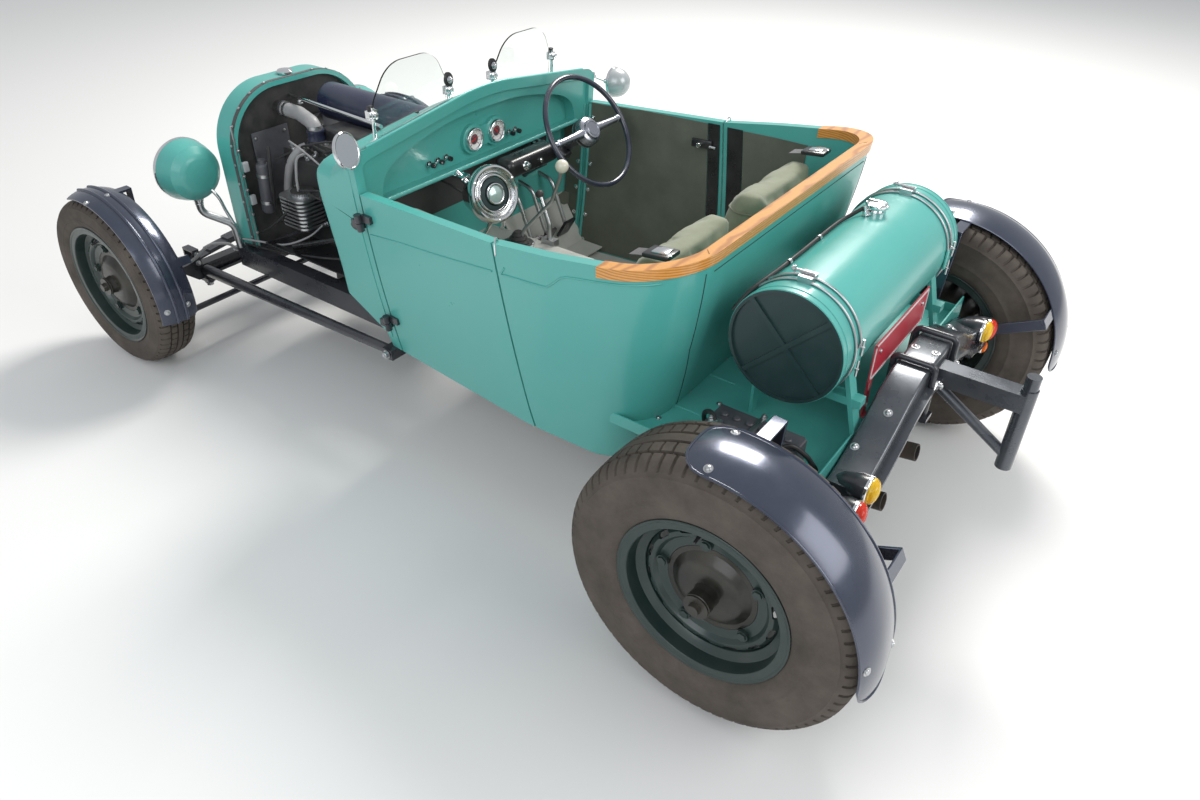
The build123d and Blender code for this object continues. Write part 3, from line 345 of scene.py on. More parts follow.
@dataclass(frozen=True)
class Tyre:
    """Dusty tyre rubber, with clouds of browner dust and a fine grain."""

    name: str
    colour: Colour
    dust: Colour

    def build(self) -> bpy.types.Material:
        """The finished material.

        Returns:
            The material.
        """
        board = Board(self.name)
        cloud = board.noise(9.0, 6.0, 0.65)
        grain = board.noise(480.0, 3.0, 0.7)
        base = board.tint(cloud, (0.15, 0.85, 0.3, 0.72), self.colour, self.dust)
        base = board.tint(grain, (0.0, 0.35, 0.5, 0.85), base, self.dust)
        board.shade(Base_Color=base, Roughness=board.span(cloud, 0.72, 0.92), Specular_IOR_Level=0.3)
        board.bump(grain, 0.25, 0.0006)
        board.bump(board.noise(40.0, 4.0), 0.15, 0.0015)
        return board.material


@dataclass(frozen=True)
class Timber:
    """Varnished timber with long grain that follows the rail's run."""

    name: str
    pale: Colour
    dark: Colour

    def build(self) -> bpy.types.Material:
        """The finished material.

        Returns:
            The material.
        """
        board = Board(self.name)
        wave = board.node("TexWave", Scale=34.0, Distortion=5.0, Detail=3.0, Detail_Scale=0.7,
                          Vector=board.stretch((0.35, 0.35, 1.4)))
        wave.bands_direction = "Z"
        grain = wave.outputs["Fac"]
        fine = board.noise(90.0, 4.0, 0.7)
        base = board.ramp(grain, ((0.0, self.dark), (0.55, self.pale), (1.0, self.pale)))
        base = board.tint(fine, (0.0, 0.4, 0.45, 0.8), base, self.dark)
        board.shade(Base_Color=base, Roughness=board.span(fine, 0.26, 0.44), Coat_Weight=0.5, Coat_Roughness=0.18)
        board.bump(grain, 0.08, 0.0006)
        return board.material


@dataclass(frozen=True)
class Cloth:
    """Woven or grained soft covering."""

    name: str
    colour: Colour
    shade: Colour
    weave: float = 620.0
    rough: float = 0.8
    sheen: float = 0.25

    def build(self) -> bpy.types.Material:
        """The finished material.

        Returns:
            The material.
        """
        board = Board(self.name)
        cloud = board.noise(8.0, 5.0, 0.6)
        threads = board.node("TexVoronoi", Scale=self.weave, Vector=board.place).outputs["Distance"]
        base = board.tint(cloud, (0.0, 0.8, 0.3, 0.75), self.colour, self.shade)
        base = board.tint(threads, (0.0, 0.3), base, self.shade)
        board.shade(Base_Color=base, Roughness=self.rough, Sheen_Weight=self.sheen)
        board.bump(threads, 0.3, 0.0006)
        board.bump(board.noise(22.0, 3.0), 0.12, 0.004)
        return board.material


@dataclass(frozen=True)
class Glass:
    """Clear or tinted glass that light and sight pass through."""

    name: str
    colour: Colour
    rough: float = 0.03
    transmission: float = 1.0

    def build(self) -> bpy.types.Material:
        """The finished material.

        Returns:
            The material.
        """
        board = Board(self.name)
        board.shade(Base_Color=self.colour, Roughness=self.rough, Transmission_Weight=self.transmission, IOR=1.45)
        board.bump(board.noise(30.0, 2.0), 0.02, 0.0005)
        return board.material


FINISHES = (
    Paint("green", (0.075, 0.385, 0.345), (0.13, 0.43, 0.39), 0.27, 0.42, 0.0, 0.4, 5.0, 0.3),
    Paint("rim_green", (0.014, 0.032, 0.029), (0.045, 0.058, 0.05), 0.28, 0.48, 0.0, 0.25, 10.0, 0.5),
    # A much darker copy of the green for the tank's ends: partly their own dark paint, partly painted shade
    Paint("end_green", (0.014, 0.04, 0.042), (0.04, 0.07, 0.07), 0.35, 0.5, 0.0, 0.1, 9.0, 0.4),
    Paint("seam", (0.012, 0.03, 0.032), (0.03, 0.06, 0.055), 0.5, 0.7),
    Paint("black", (0.02, 0.022, 0.03), (0.1, 0.1, 0.105), 0.2, 0.38, 0.0, 0.35),
    Paint("guard", (0.05, 0.06, 0.095), (0.13, 0.14, 0.17), 0.17, 0.3, 0.55, 0.6, 6.0, 0.3),
    Paint("beam", (0.075, 0.085, 0.1), (0.17, 0.175, 0.185), 0.2, 0.36, 0.6, 0.45, 9.0, 0.4),
    Paint("engine", (0.02, 0.021, 0.024), (0.1, 0.094, 0.085), 0.3, 0.6, 0.0, 0.0, 14.0, 0.5, 0.15),
    Paint("core", (0.02, 0.021, 0.022), (0.11, 0.105, 0.095), 0.5, 0.8, 0.0, 0.0, 20.0, 0.5),
    Paint("slate", (0.06, 0.063, 0.075), (0.13, 0.13, 0.135), 0.35, 0.55, 0.0, 0.1, 14.0, 0.4),
    Paint("navy", (0.02, 0.026, 0.06), (0.08, 0.085, 0.11), 0.25, 0.4, 0.0, 0.3, 14.0, 0.3),
    Paint("hub", (0.02, 0.02, 0.017), (0.085, 0.076, 0.062), 0.26, 0.46, 0.3, 0.2, 12.0, 0.6),
    Paint("exhaust", (0.03, 0.028, 0.027), (0.13, 0.09, 0.06), 0.5, 0.8, 0.2, 0.0, 16.0, 0.6, 0.2),
    Paint("plastic", (0.012, 0.012, 0.014), (0.07, 0.07, 0.07), 0.22, 0.38, 0.0, 0.2, 16.0, 0.2),
    Paint("hose", (0.014, 0.014, 0.015), (0.08, 0.078, 0.075), 0.45, 0.65, 0.0, 0.0, 30.0, 0.3),
    Paint("pale_hose", (0.28, 0.28, 0.29), (0.4, 0.4, 0.39), 0.4, 0.6, 0.0, 0.1, 20.0, 0.5),
    Paint("pale_tab", (0.5, 0.52, 0.54), (0.35, 0.35, 0.34), 0.35, 0.5, 0.2, 0.2, 24.0, 0.5),
    Paint("mirror_shell", (0.42, 0.45, 0.46), (0.52, 0.53, 0.52), 0.2, 0.35, 0.2, 0.4),
    Paint("floor_pan", (0.46, 0.47, 0.43), (0.6, 0.6, 0.56), 0.7, 0.9, 0.0, 0.0, 12.0, 0.6, 0.2, 200.0),
    Paint("plate", (0.5, 0.02, 0.045), (0.6, 0.2, 0.2), 0.3, 0.45, 0.0, 0.3, 10.0, 0.3),
    Paint("plate_white", (0.75, 0.74, 0.74), (0.62, 0.55, 0.55), 0.3, 0.45, 0.0, 0.3, 20.0, 0.3),
    Paint("dial", (0.78, 0.78, 0.76), (0.7, 0.69, 0.65), 0.35, 0.5, 0.0, 0.2, 60.0, 0.3),
    Paint("ink", (0.02, 0.02, 0.022), (0.05, 0.05, 0.05), 0.4, 0.5, 0.0, 0.0, 90.0, 0.2),
    Paint("red_hand", (0.62, 0.03, 0.03), (0.5, 0.06, 0.05), 0.35, 0.5, 0.0, 0.2, 90.0, 0.2),
    Paint("cream", (0.68, 0.66, 0.54), (0.5, 0.48, 0.38), 0.16, 0.3, 0.0, 0.6, 30.0, 0.4),
    Paint("rim_black", (0.018, 0.022, 0.04), (0.09, 0.1, 0.13), 0.14, 0.28, 0.0, 0.5, 16.0, 0.3),
    Paint("pale_glass", (0.38, 0.52, 0.5), (0.6, 0.66, 0.64), 0.08, 0.2, 0.3, 0.6, 30.0, 0.5),
    Paint("mirror_glass", (0.6, 0.64, 0.66), (0.7, 0.72, 0.72), 0.03, 0.08, 1.0, 0.0, 8.0, 0.1),
    Metal("steel", (0.52, 0.53, 0.54), 0.25, 0.45),
    Metal("chrome", (0.8, 0.81, 0.82), 0.06, 0.2),
    Metal("satin", (0.36, 0.375, 0.42), 0.2, 0.34),
    Tyre("rubber", (0.042, 0.035, 0.03), (0.135, 0.113, 0.095)),
    Timber("timber", (0.72, 0.33, 0.07), (0.45, 0.17, 0.03)),
    Timber("timber_end", (0.24, 0.09, 0.02), (0.12, 0.045, 0.01)),
    Cloth("seat_cloth", (0.27, 0.29, 0.2), (0.17, 0.185, 0.12)),
    Cloth("piping", (0.2, 0.215, 0.145), (0.12, 0.13, 0.085), 900.0),
    Cloth("card", (0.125, 0.14, 0.105), (0.062, 0.07, 0.052), 700.0, 0.7, 0.15),
    Cloth("webbing", (0.03, 0.03, 0.032), (0.07, 0.07, 0.07), 1400.0, 0.6, 0.2),
    Cloth("gaiter", (0.022, 0.022, 0.023), (0.06, 0.06, 0.055), 500.0, 0.55, 0.1),
    Glass("clear", (0.93, 0.97, 0.96), 0.02, 1.0),
    Glass("lamp_glass", (0.9, 0.93, 0.93), 0.12, 0.9),
    Glass("red_lens", (0.85, 0.05, 0.02), 0.12, 0.3),
    Glass("amber_lens", (0.98, 0.62, 0.03), 0.12, 0.3),
    Glass("orange_lens", (0.95, 0.22, 0.02), 0.12, 0.3),
)


class Finishes:
    """The materials, built once and handed out by name."""

    def __init__(self) -> None:
        """Builds every finish."""
        self.made = {finish.name: finish.build() for finish in FINISHES}

    def put(self, thing: bpy.types.Object, *names: str) -> None:
        """Gives a piece or a CAD node its materials, replacing what it has.

        Args:
            thing: The piece or node.
            names: The finishes' names, in the order of its material indices.
        """
        thing.data.materials.clear()
        for name in names:
            thing.data.materials.append(self.made[name])


# What the CAD nodes wear

NODE_FINISH: dict[str, tuple[str, ...]] = {
    "green": ("tub", "cowl", "door_left", "door_right", "radiator_shell", "headlamps", "fuel_tank", "rear_deck",
              "dash"),
    "rim_green": ("front_rim_left", "front_rim_right", "rear_rim_left", "rear_rim_right"),
    "black": ("frame", "front_axle", "rear_axle", "springs", "tie_rod", "knuckle_left",
              "knuckle_right", "cowl_hinges", "tail_lamp_bodies",
              "door_hinges_left", "door_hinges_right", "steering_column"),
    "guard": ("rear_mudguards", "front_mudguard_left", "front_mudguard_right"),
    "beam": ("rear_crossmember",),
    "slate": ("battery",),
    "hub": ("front_hub_left", "front_hub_right", "rear_hub_left", "rear_hub_right"),
    "engine": ("engine", "engine_fittings"),
    "core": ("radiator",),
    "exhaust": ("exhaust",),
    "rubber": ("front_tyre_left", "front_tyre_right", "rear_tyre_left", "rear_tyre_right"),
    "timber": ("timber_rail",),
    "steel": ("front_stays", "tank_straps", "levers"),
    "chrome": ("dash_fittings", "screen_strips"),
    "mirror_shell": ("mirrors",),
    "clear": ("aero_screens",),
    "lamp_glass": ("headlamp_lenses",),
    "red_lens": ("tail_lamp_lenses",),
    "plate": ("number_plate",),
    "seat_cloth": ("seats",),
    "floor_pan": ("floor",),
    "rim_black": ("steering_wheel",),
}

Box = tuple[float, float, float, float, float, float]
# How near two points of a node are joined, in metres, and the angle past which its edges are sharp, in degrees
NODE_WELD = 0.00002
NODE_CREASE = 28


@dataclass(frozen=True)
class Zone:
    """A part of a CAD node that wears another finish: the faces in a box, or near a point."""

    node: str
    finish: str
    box: Box | None = None
    centre: Point | None = None
    reach: float = 0.0

    def holds(self, place: Vector) -> bool:
        """Whether a face's middle, in the car's millimetres, is in the zone.

        Args:
            place: The middle of the face.

        Returns:
            Whether it is.
        """
        if self.box is not None:
            return all(low <= value <= high for value, low, high in zip(place, self.box[::2], self.box[1::2]))
        return (place - Vector(self.centre)).length <= self.reach


ZONES = (
    # The tank's ends wear the darker copy of the green: partly dark paint, partly painted shade
    Zone("fuel_tank", "end_green", (-200, 400, 362.5, 400, 500, 1000)),
    Zone("fuel_tank", "end_green", (-200, 400, -400, -362.5, 500, 1000)),
    Zone("fuel_tank", "chrome", (50, 115, -160, -95, 889.5, 1000)),
    Zone("levers", "cream", centre=(972.0, -6.0, 836.0), reach=22.0),
    Zone("levers", "gaiter", centre=(1120.0, -80.0, 690.0), reach=16.0),
    Zone("levers", "plastic", (1180, 1260, -380, -100, 420, 510)),
    Zone("engine_fittings", "steel", (1870, 2012, 148, 270, 465, 580)),
    Zone("engine_fittings", "pale_hose", (1930, 2130, 40, 118, 735, 840)),
    Zone("engine_fittings", "navy", (1470, 2110, -170, -25, 726, 870)),
    Zone("front_stays", "chrome", (1300, 2260, -20, 320, 700, 1000)),
)


def dress_nodes(nodes: dict[str, bpy.types.Object], finishes: Finishes) -> None:
    """Gives each CAD node its finishes and smooth shading between its sharp edges.

    Args:
        nodes: The CAD nodes by name.
        finishes: The materials.
    """
    for finish, names in NODE_FINISH.items():
        for name in names:
            node = nodes[name]
            zones = [zone for zone in ZONES if zone.node == name]
            finishes.put(node, finish, *(zone.finish for zone in zones))
            for index, zone in enumerate(zones, 1):
                for face in node.data.polygons:
                    if zone.holds(on_car(face.center)):
                        face.material_index = index
            node.data.polygons.foreach_set("use_smooth", [True] * len(node.data.polygons))
            weld = node.modifiers.new("weld", "WELD")
            weld.merge_threshold = NODE_WELD
            split = node.modifiers.new("edges", "EDGE_SPLIT")
            split.split_angle = math.radians(NODE_CREASE)


# Modelling, in the car's millimetres until a piece is finished


def facing(place: Sequence[float], ahead: Sequence[float]) -> Matrix:
    """The matrix that stands a shape's Z along a direction at a place.

    Args:
        place: Where the shape's origin goes.
        ahead: The direction that its Z takes.

    Returns:
        The matrix.
    """
    return Matrix.Translation(place) @ Vector(ahead).to_track_quat("Z", "Y").to_matrix().to_4x4()


def smooth_line(points: Line, steps: int = 6) -> list[Vector]:
    """A smooth line through points, for hoses and wires that are fixed at both ends.

    Args:
        points: The points that it goes through.
        steps: How many pieces each run is divided into.

    Returns:
        The points of the line.
    """
    knots = [Vector(point) for point in points]
    slopes = [(after - before) / 6 for before, after in zip([knots[0], *knots[:-1]], [*knots[1:], knots[-1]])]
    line: list[Vector] = []
    for here, after, out, into in zip(knots, knots[1:], slopes, slopes[1:]):
        line += interpolate_bezier(here, here + out, after - into, after, steps + 1)[:-1]
    return [*line, knots[-1]]


class Shape:
    """A mesh being modelled, with the operations that the pieces share."""

    def __init__(self) -> None:
        """Starts an empty mesh."""
        self.mesh = bmesh.new()

    def turn(self, matrix: Matrix) -> Shape:
        """Moves the whole shape by a matrix."""
        bmesh.ops.transform(self.mesh, matrix=matrix, verts=self.mesh.verts)
        return self

    def move(self, x: float, y: float, z: float) -> Shape:
        """Shifts the whole shape."""
        return self.turn(Matrix.Translation((x, y, z)))

    def spin(self, degrees: float, axis: str) -> Shape:
        """Turns the whole shape about one axis."""
        return self.turn(Matrix.Rotation(math.radians(degrees), 4, axis))

    def face(self, place: Sequence[float], ahead: Sequence[float]) -> Shape:
        """Stands the shape's Z along a direction, with its origin at a place."""
        return self.turn(facing(place, ahead))

    def orient(self) -> Shape:
        """Turns all faces outwards."""
        bmesh.ops.recalc_face_normals(self.mesh, faces=self.mesh.faces)
        return self

    def copy(self) -> Shape:
        """The same shape again.

        Returns:
            The new shape.
        """
        made = Shape()
        made.mesh.free()
        made.mesh = self.mesh.copy()
        return made

    def other_side(self) -> Shape:
        """A mirror image of the shape on the car's other side.

        Returns:
            The new shape.
        """
        made = self.copy()
        bmesh.ops.scale(made.mesh, vec=(1, -1, 1), verts=made.mesh.verts)
        bmesh.ops.reverse_faces(made.mesh, faces=made.mesh.faces)
        return made

    def add(self, *others: Shape) -> Shape:
        """Takes in other shapes.

        Args:
            others: The shapes to join to this one.

        Returns:
            This shape.
        """
        for other in others:
            other.pour(self.mesh)
        return self

    def pour(self, target: bmesh.types.BMesh) -> None:
        """Copies the shape into another mesh.

        Args:
            target: The mesh that takes it in.
        """
        flat = bpy.data.meshes.new("flat")
        self.mesh.to_mesh(flat)
        target.from_mesh(flat)
        bpy.data.meshes.remove(flat)

    def soften(self, edges: Iterable[bmesh.types.BMEdge], radius: float, segments: int = 2) -> Shape:
        """Rounds some of the shape's edges.

        Args:
            edges: The edges.
            radius: How far the rounding reaches.
            segments: The number of facets in an edge.

        Returns:
            This shape.
        """
        bmesh.ops.bevel(self.mesh, geom=list(edges), offset=radius, offset_type="OFFSET", segments=segments,
                        profile=0.5, affect="EDGES", material=-1)
        return self


def joined(shapes: Iterable[Shape]) -> Shape:
    """Several shapes as one."""
    return Shape().add(*shapes)


def lathe(profile: Sequence[Pair], steps: int = 32) -> Shape:
    """A shape of revolution about Z.

    Args:
        profile: Points as radius and height.
        steps: The number of sides.

    Returns:
        The shape, closed where the profile starts and ends at radius 0.
    """
    made = Shape()
    verts = [made.mesh.verts.new((radius, 0, height)) for radius, height in profile]
    edges = [made.mesh.edges.new(pair) for pair in zip(verts, verts[1:])]
    bmesh.ops.spin(made.mesh, geom=verts + edges, cent=(0, 0, 0), axis=(0, 0, 1), angle=math.tau, steps=steps,
                   use_merge=True)
    bmesh.ops.remove_doubles(made.mesh, verts=made.mesh.verts, dist=0.005)
    return made.orient()


def ring(radius: float, wire: float, steps: int = 48, sides: int = 10) -> Shape:
    """A round ring about Z from a round wire."""
    turns = [math.tau * step / sides for step in range(sides + 1)]
    return lathe([(radius + wire * math.cos(turn), wire * math.sin(turn)) for turn in turns], steps)


def block(size: Point, bevel: float = 0.0, segments: int = 2) -> Shape:
    """A box about the origin with rounded edges.

    Args:
        size: Its size on each axis.
        bevel: The edges' radius.
        segments: The number of facets in an edge.

    Returns:
        The shape.
    """
    made = Shape()
    bmesh.ops.create_cube(made.mesh, size=1.0)
    bmesh.ops.scale(made.mesh, vec=size, verts=made.mesh.verts)
    return made.soften(made.mesh.edges, bevel, segments) if bevel else made


def plate(outline: Sequence[Pair], thickness: float, bevel: float = 0.0) -> Shape:
    """A flat plate in XY that rises from Z = 0.

    Args:
        outline: Its corners as X and Y, anticlockwise.
        thickness: Its height.
        bevel: The radius of its upper edge.

    Returns:
        The shape.
    """
    made = Shape()
    low = made.mesh.faces.new([made.mesh.verts.new((x, y, 0)) for x, y in outline])
    moved = bmesh.ops.extrude_face_region(made.mesh, geom=[low], use_keep_orig=True)["geom"]
    rise = [item for item in moved if isinstance(item, bmesh.types.BMVert)]
    bmesh.ops.translate(made.mesh, vec=(0, 0, thickness), verts=rise)
    made.orient()
    if bevel:
        top = thickness * 0.99
        made.soften((edge for edge in made.mesh.edges if all(vert.co.z > top for vert in edge.verts)), bevel)
    return made


def tube(points: Line, radius: float, sides: int = 12, end_radius: float | None = None,
         closed: bool = False) -> Shape:
    """A round tube along a line.

    Args:
        points: The line's points.
        radius: The tube's radius.
        sides: The number of sides.
        end_radius: Its radius at the end, where it differs.
        closed: Whether its end joins its start.

    Returns:
        The shape, with flat ends unless it is closed.
    """
    line = [Vector(point) for point in points]
    count = len(line)
    last = radius if end_radius is None else end_radius
    made = Shape()
    start = bmesh.ops.create_circle(made.mesh, segments=sides, radius=1.0, cap_ends=False)["verts"]
    edges = list({edge for vert in start for edge in vert.link_edges})
    frames = []
    ahead = Vector((0, 0, 1))
    turn = Matrix.Identity(3)
    for index, point in enumerate(line):
        before = line[index - 1] if index or closed else point
        after = line[(index + 1) % count] if index < count - 1 or closed else point
        heading = (after - before).normalized()
        turn = ahead.rotation_difference(heading).to_matrix() @ turn
        ahead = heading
        size = radius + (last - radius) * index / max(count - 1, 1)
        frames.append(Matrix.Translation(point) @ turn.to_4x4() @ Matrix.Scale(size, 4))
    bmesh.ops.transform(made.mesh, matrix=frames[0], verts=start)
    for before, after in zip(frames, frames[1:]):
        grown = bmesh.ops.extrude_edge_only(made.mesh, edges=edges)["geom"]
        edges = [item for item in grown if isinstance(item, bmesh.types.BMEdge)]
        verts = [item for item in grown if isinstance(item, bmesh.types.BMVert)]
        bmesh.ops.transform(made.mesh, matrix=after @ before.inverted(), verts=verts)
    ends = [edge for edge in made.mesh.edges if len(edge.link_faces) < 2]
    if closed:
        bmesh.ops.bridge_loops(made.mesh, edges=ends)
    else:
        bmesh.ops.holes_fill(made.mesh, edges=ends)
    return made.orient()


def hose(points: Line, radius: float, sides: int = 8) -> Shape:
    """A hose or wire that runs smoothly through points and is fixed at both ends.

    Args:
        points: The points.
        radius: Its radius.
        sides: The number of sides.

    Returns:
        The shape.
    """
    return tube(smooth_line(points, 8), radius, sides)


def panel(columns: int, rows: int, spot: Callable[[float, float], Vector], thickness: float) -> Shape:
    """A thin sheet laid on a surface.

    Args:
        columns: Faces along it.
        rows: Faces across it.
        spot: Gives the surface's point for a share of the way along and across.
        thickness: The sheet's thickness.

    Returns:
        The shape.
    """
    made = Shape()
    bmesh.ops.create_grid(made.mesh, x_segments=columns, y_segments=rows, size=0.5)
    for vert in made.mesh.verts:
        vert.co = spot(vert.co.x + 0.5, vert.co.y + 0.5)
    made.orient()
    bmesh.ops.solidify(made.mesh, geom=made.mesh.faces[:], thickness=thickness)
    return made.orient()


def bolt(radius: float, height: float) -> Shape:
    """A domed bolt head on a thin washer, on the XY plane."""
    return lathe(((0, -1), (radius * 1.5, -1), (radius * 1.5, 1), (radius, 1.2), (radius, height * 0.45),
                  (radius * 0.8, height * 0.8), (radius * 0.4, height), (0, height)), 20)


def nut(radius: float, height: float) -> Shape:
    """A hexagon nut with a washer and the end of its stud, on the XY plane.

    Args:
        radius: Half of its width over the corners.
        height: Its height.

    Returns:
        The shape.
    """
    made = Shape()
    bmesh.ops.create_cone(made.mesh, cap_ends=True, cap_tris=False, segments=6, radius1=radius, radius2=radius,
                          depth=height)
    bmesh.ops.translate(made.mesh, vec=(0, 0, height / 2 + 1), verts=made.mesh.verts)
    made.soften(made.mesh.edges, radius * 0.08, 1)
    made.add(lathe(((0, -0.5), (radius * 1.25, -0.5), (radius * 1.25, 1.2), (0, 1.2)), 20))
    return made.add(lathe(((radius * 0.45, 0.5), (radius * 0.45, height + 3), (radius * 0.35, height + 4),
                           (0, height + 4)), 14))


class Skin:
    """The surface of CAD nodes, so that a piece can be seated on them."""

    def __init__(self, *nodes: bpy.types.Object) -> None:
        """Reads the nodes' surfaces.

        Args:
            nodes: The CAD nodes.
        """
        verts: list[Vector] = []
        faces: list[list[int]] = []
        for node in nodes:
            first = len(verts)
            verts += [on_car(vert.co) for vert in node.data.vertices]
            faces += [[first + index for index in face.vertices] for face in node.data.polygons]
        self.tree = BVHTree.FromPolygons(verts, faces)

    def hit(self, start: Sequence[float], way: Sequence[float]) -> tuple[Vector, Vector]:
        """The first point that a ray meets, with the outward normal there.

        Args:
            start: Where the ray starts.
            way: Its direction.

        Returns:
            The point and the normal that faces the ray.
        """
        way = Vector(way).normalized()
        place, normal, _, _ = self.tree.ray_cast(Vector(start), way)
        if place is None:
            place, normal, _, _ = self.tree.find_nearest(Vector(start))
        return place, -normal if normal.dot(way) > 0 else normal

    def seat(self, shape: Shape, start: Sequence[float], way: Sequence[float], lift: float = 0.0) -> Shape:
        """Stands a shape on the surface where a ray meets it.

        Args:
            shape: The shape, with its foot on the XY plane.
            start: Where the ray starts.
            way: Its direction.
            lift: How far the shape stands off.

        Returns:
            The shape.
        """
        place, normal = self.hit(start, way)
        return shape.face(place + normal * lift, normal)

    def line(self, points: Line, way: Sequence[float], lift: float) -> list[Vector]:
        """A line of points dropped onto the surface along one direction and lifted off it.

        Args:
            points: The points to drop.
            way: The direction that they fall in.
            lift: How far they stand off.

        Returns:
            The points on the surface.
        """
        return [place + normal * lift for place, normal in (self.hit(point, way) for point in points)]


def between(points: Line, gap: float = 18.0) -> list[Vector]:
    """The points of straight runs, with more between them so that none are further apart than the gap.

    Args:
        points: The corners of the runs.
        gap: The longest distance that is left.

    Returns:
        The points.
    """
    line: list[Vector] = []
    for here, after in zip(points, points[1:]):
        here, after = Vector(here), Vector(after)
        count = max(1, math.ceil((after - here).length / gap))
        line += [here.lerp(after, step / count) for step in range(count)]
    return [*line, Vector(points[-1])]


@dataclass
class Assembly:
    """A sub-assembly, which seats its shapes on the CAD nodes and finishes them as pieces."""

    nodes: dict[str, bpy.types.Object]
    finishes: Finishes

    def skin(self, *names: str) -> Skin:
        """The surface of some CAD nodes."""
        return Skin(*(self.nodes[name] for name in names))

    def piece(self, name: str, slot: Slot, shapes: dict[str, Shape | Iterable[Shape]], crease: float = 32.0,
              body: str | None = "chassis") -> bpy.types.Object:
        """Makes one finished piece.

        Args:
            name: The piece's name.
            slot: The record's slot that it takes; not used.
            shapes: Its shapes by the finish that they wear.
            crease: The angle in degrees past which an edge is sharp.
            body: The body that it rides on, or None where the piece runs between two and rides on neither.

        Returns:
            The object.
        """
        whole = bmesh.new()
        for index, part in enumerate(shapes.values()):
            shape = part if isinstance(part, Shape) else joined(part)
            for face in shape.mesh.faces:
                face.material_index = index
            shape.pour(whole)
            shape.mesh.free()
        bmesh.ops.scale(whole, vec=[1 / MM_PER_M] * 3, verts=whole.verts)
        bmesh.ops.translate(whole, vec=(-MID_X, 0, 0), verts=whole.verts)
        mesh = bpy.data.meshes.new(name)
        thing = bpy.data.objects.new(name, mesh)
        self.finishes.put(thing, *shapes)
        whole.to_mesh(mesh)
        whole.free()
        mesh.polygons.foreach_set("use_smooth", [True] * len(mesh.polygons))
        mesh.set_sharp_from_angle(angle=math.radians(crease))
        bpy.context.scene.collection.objects.link(thing)
        if body:
            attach(thing, body)
        LOG.info("%s on %s: %d faces", name, body, len(mesh.polygons))
        return thing


# Sub-assemblies


# The row of a tyre's section that is the floor of a groove all round
GROOVE_ROW = 9


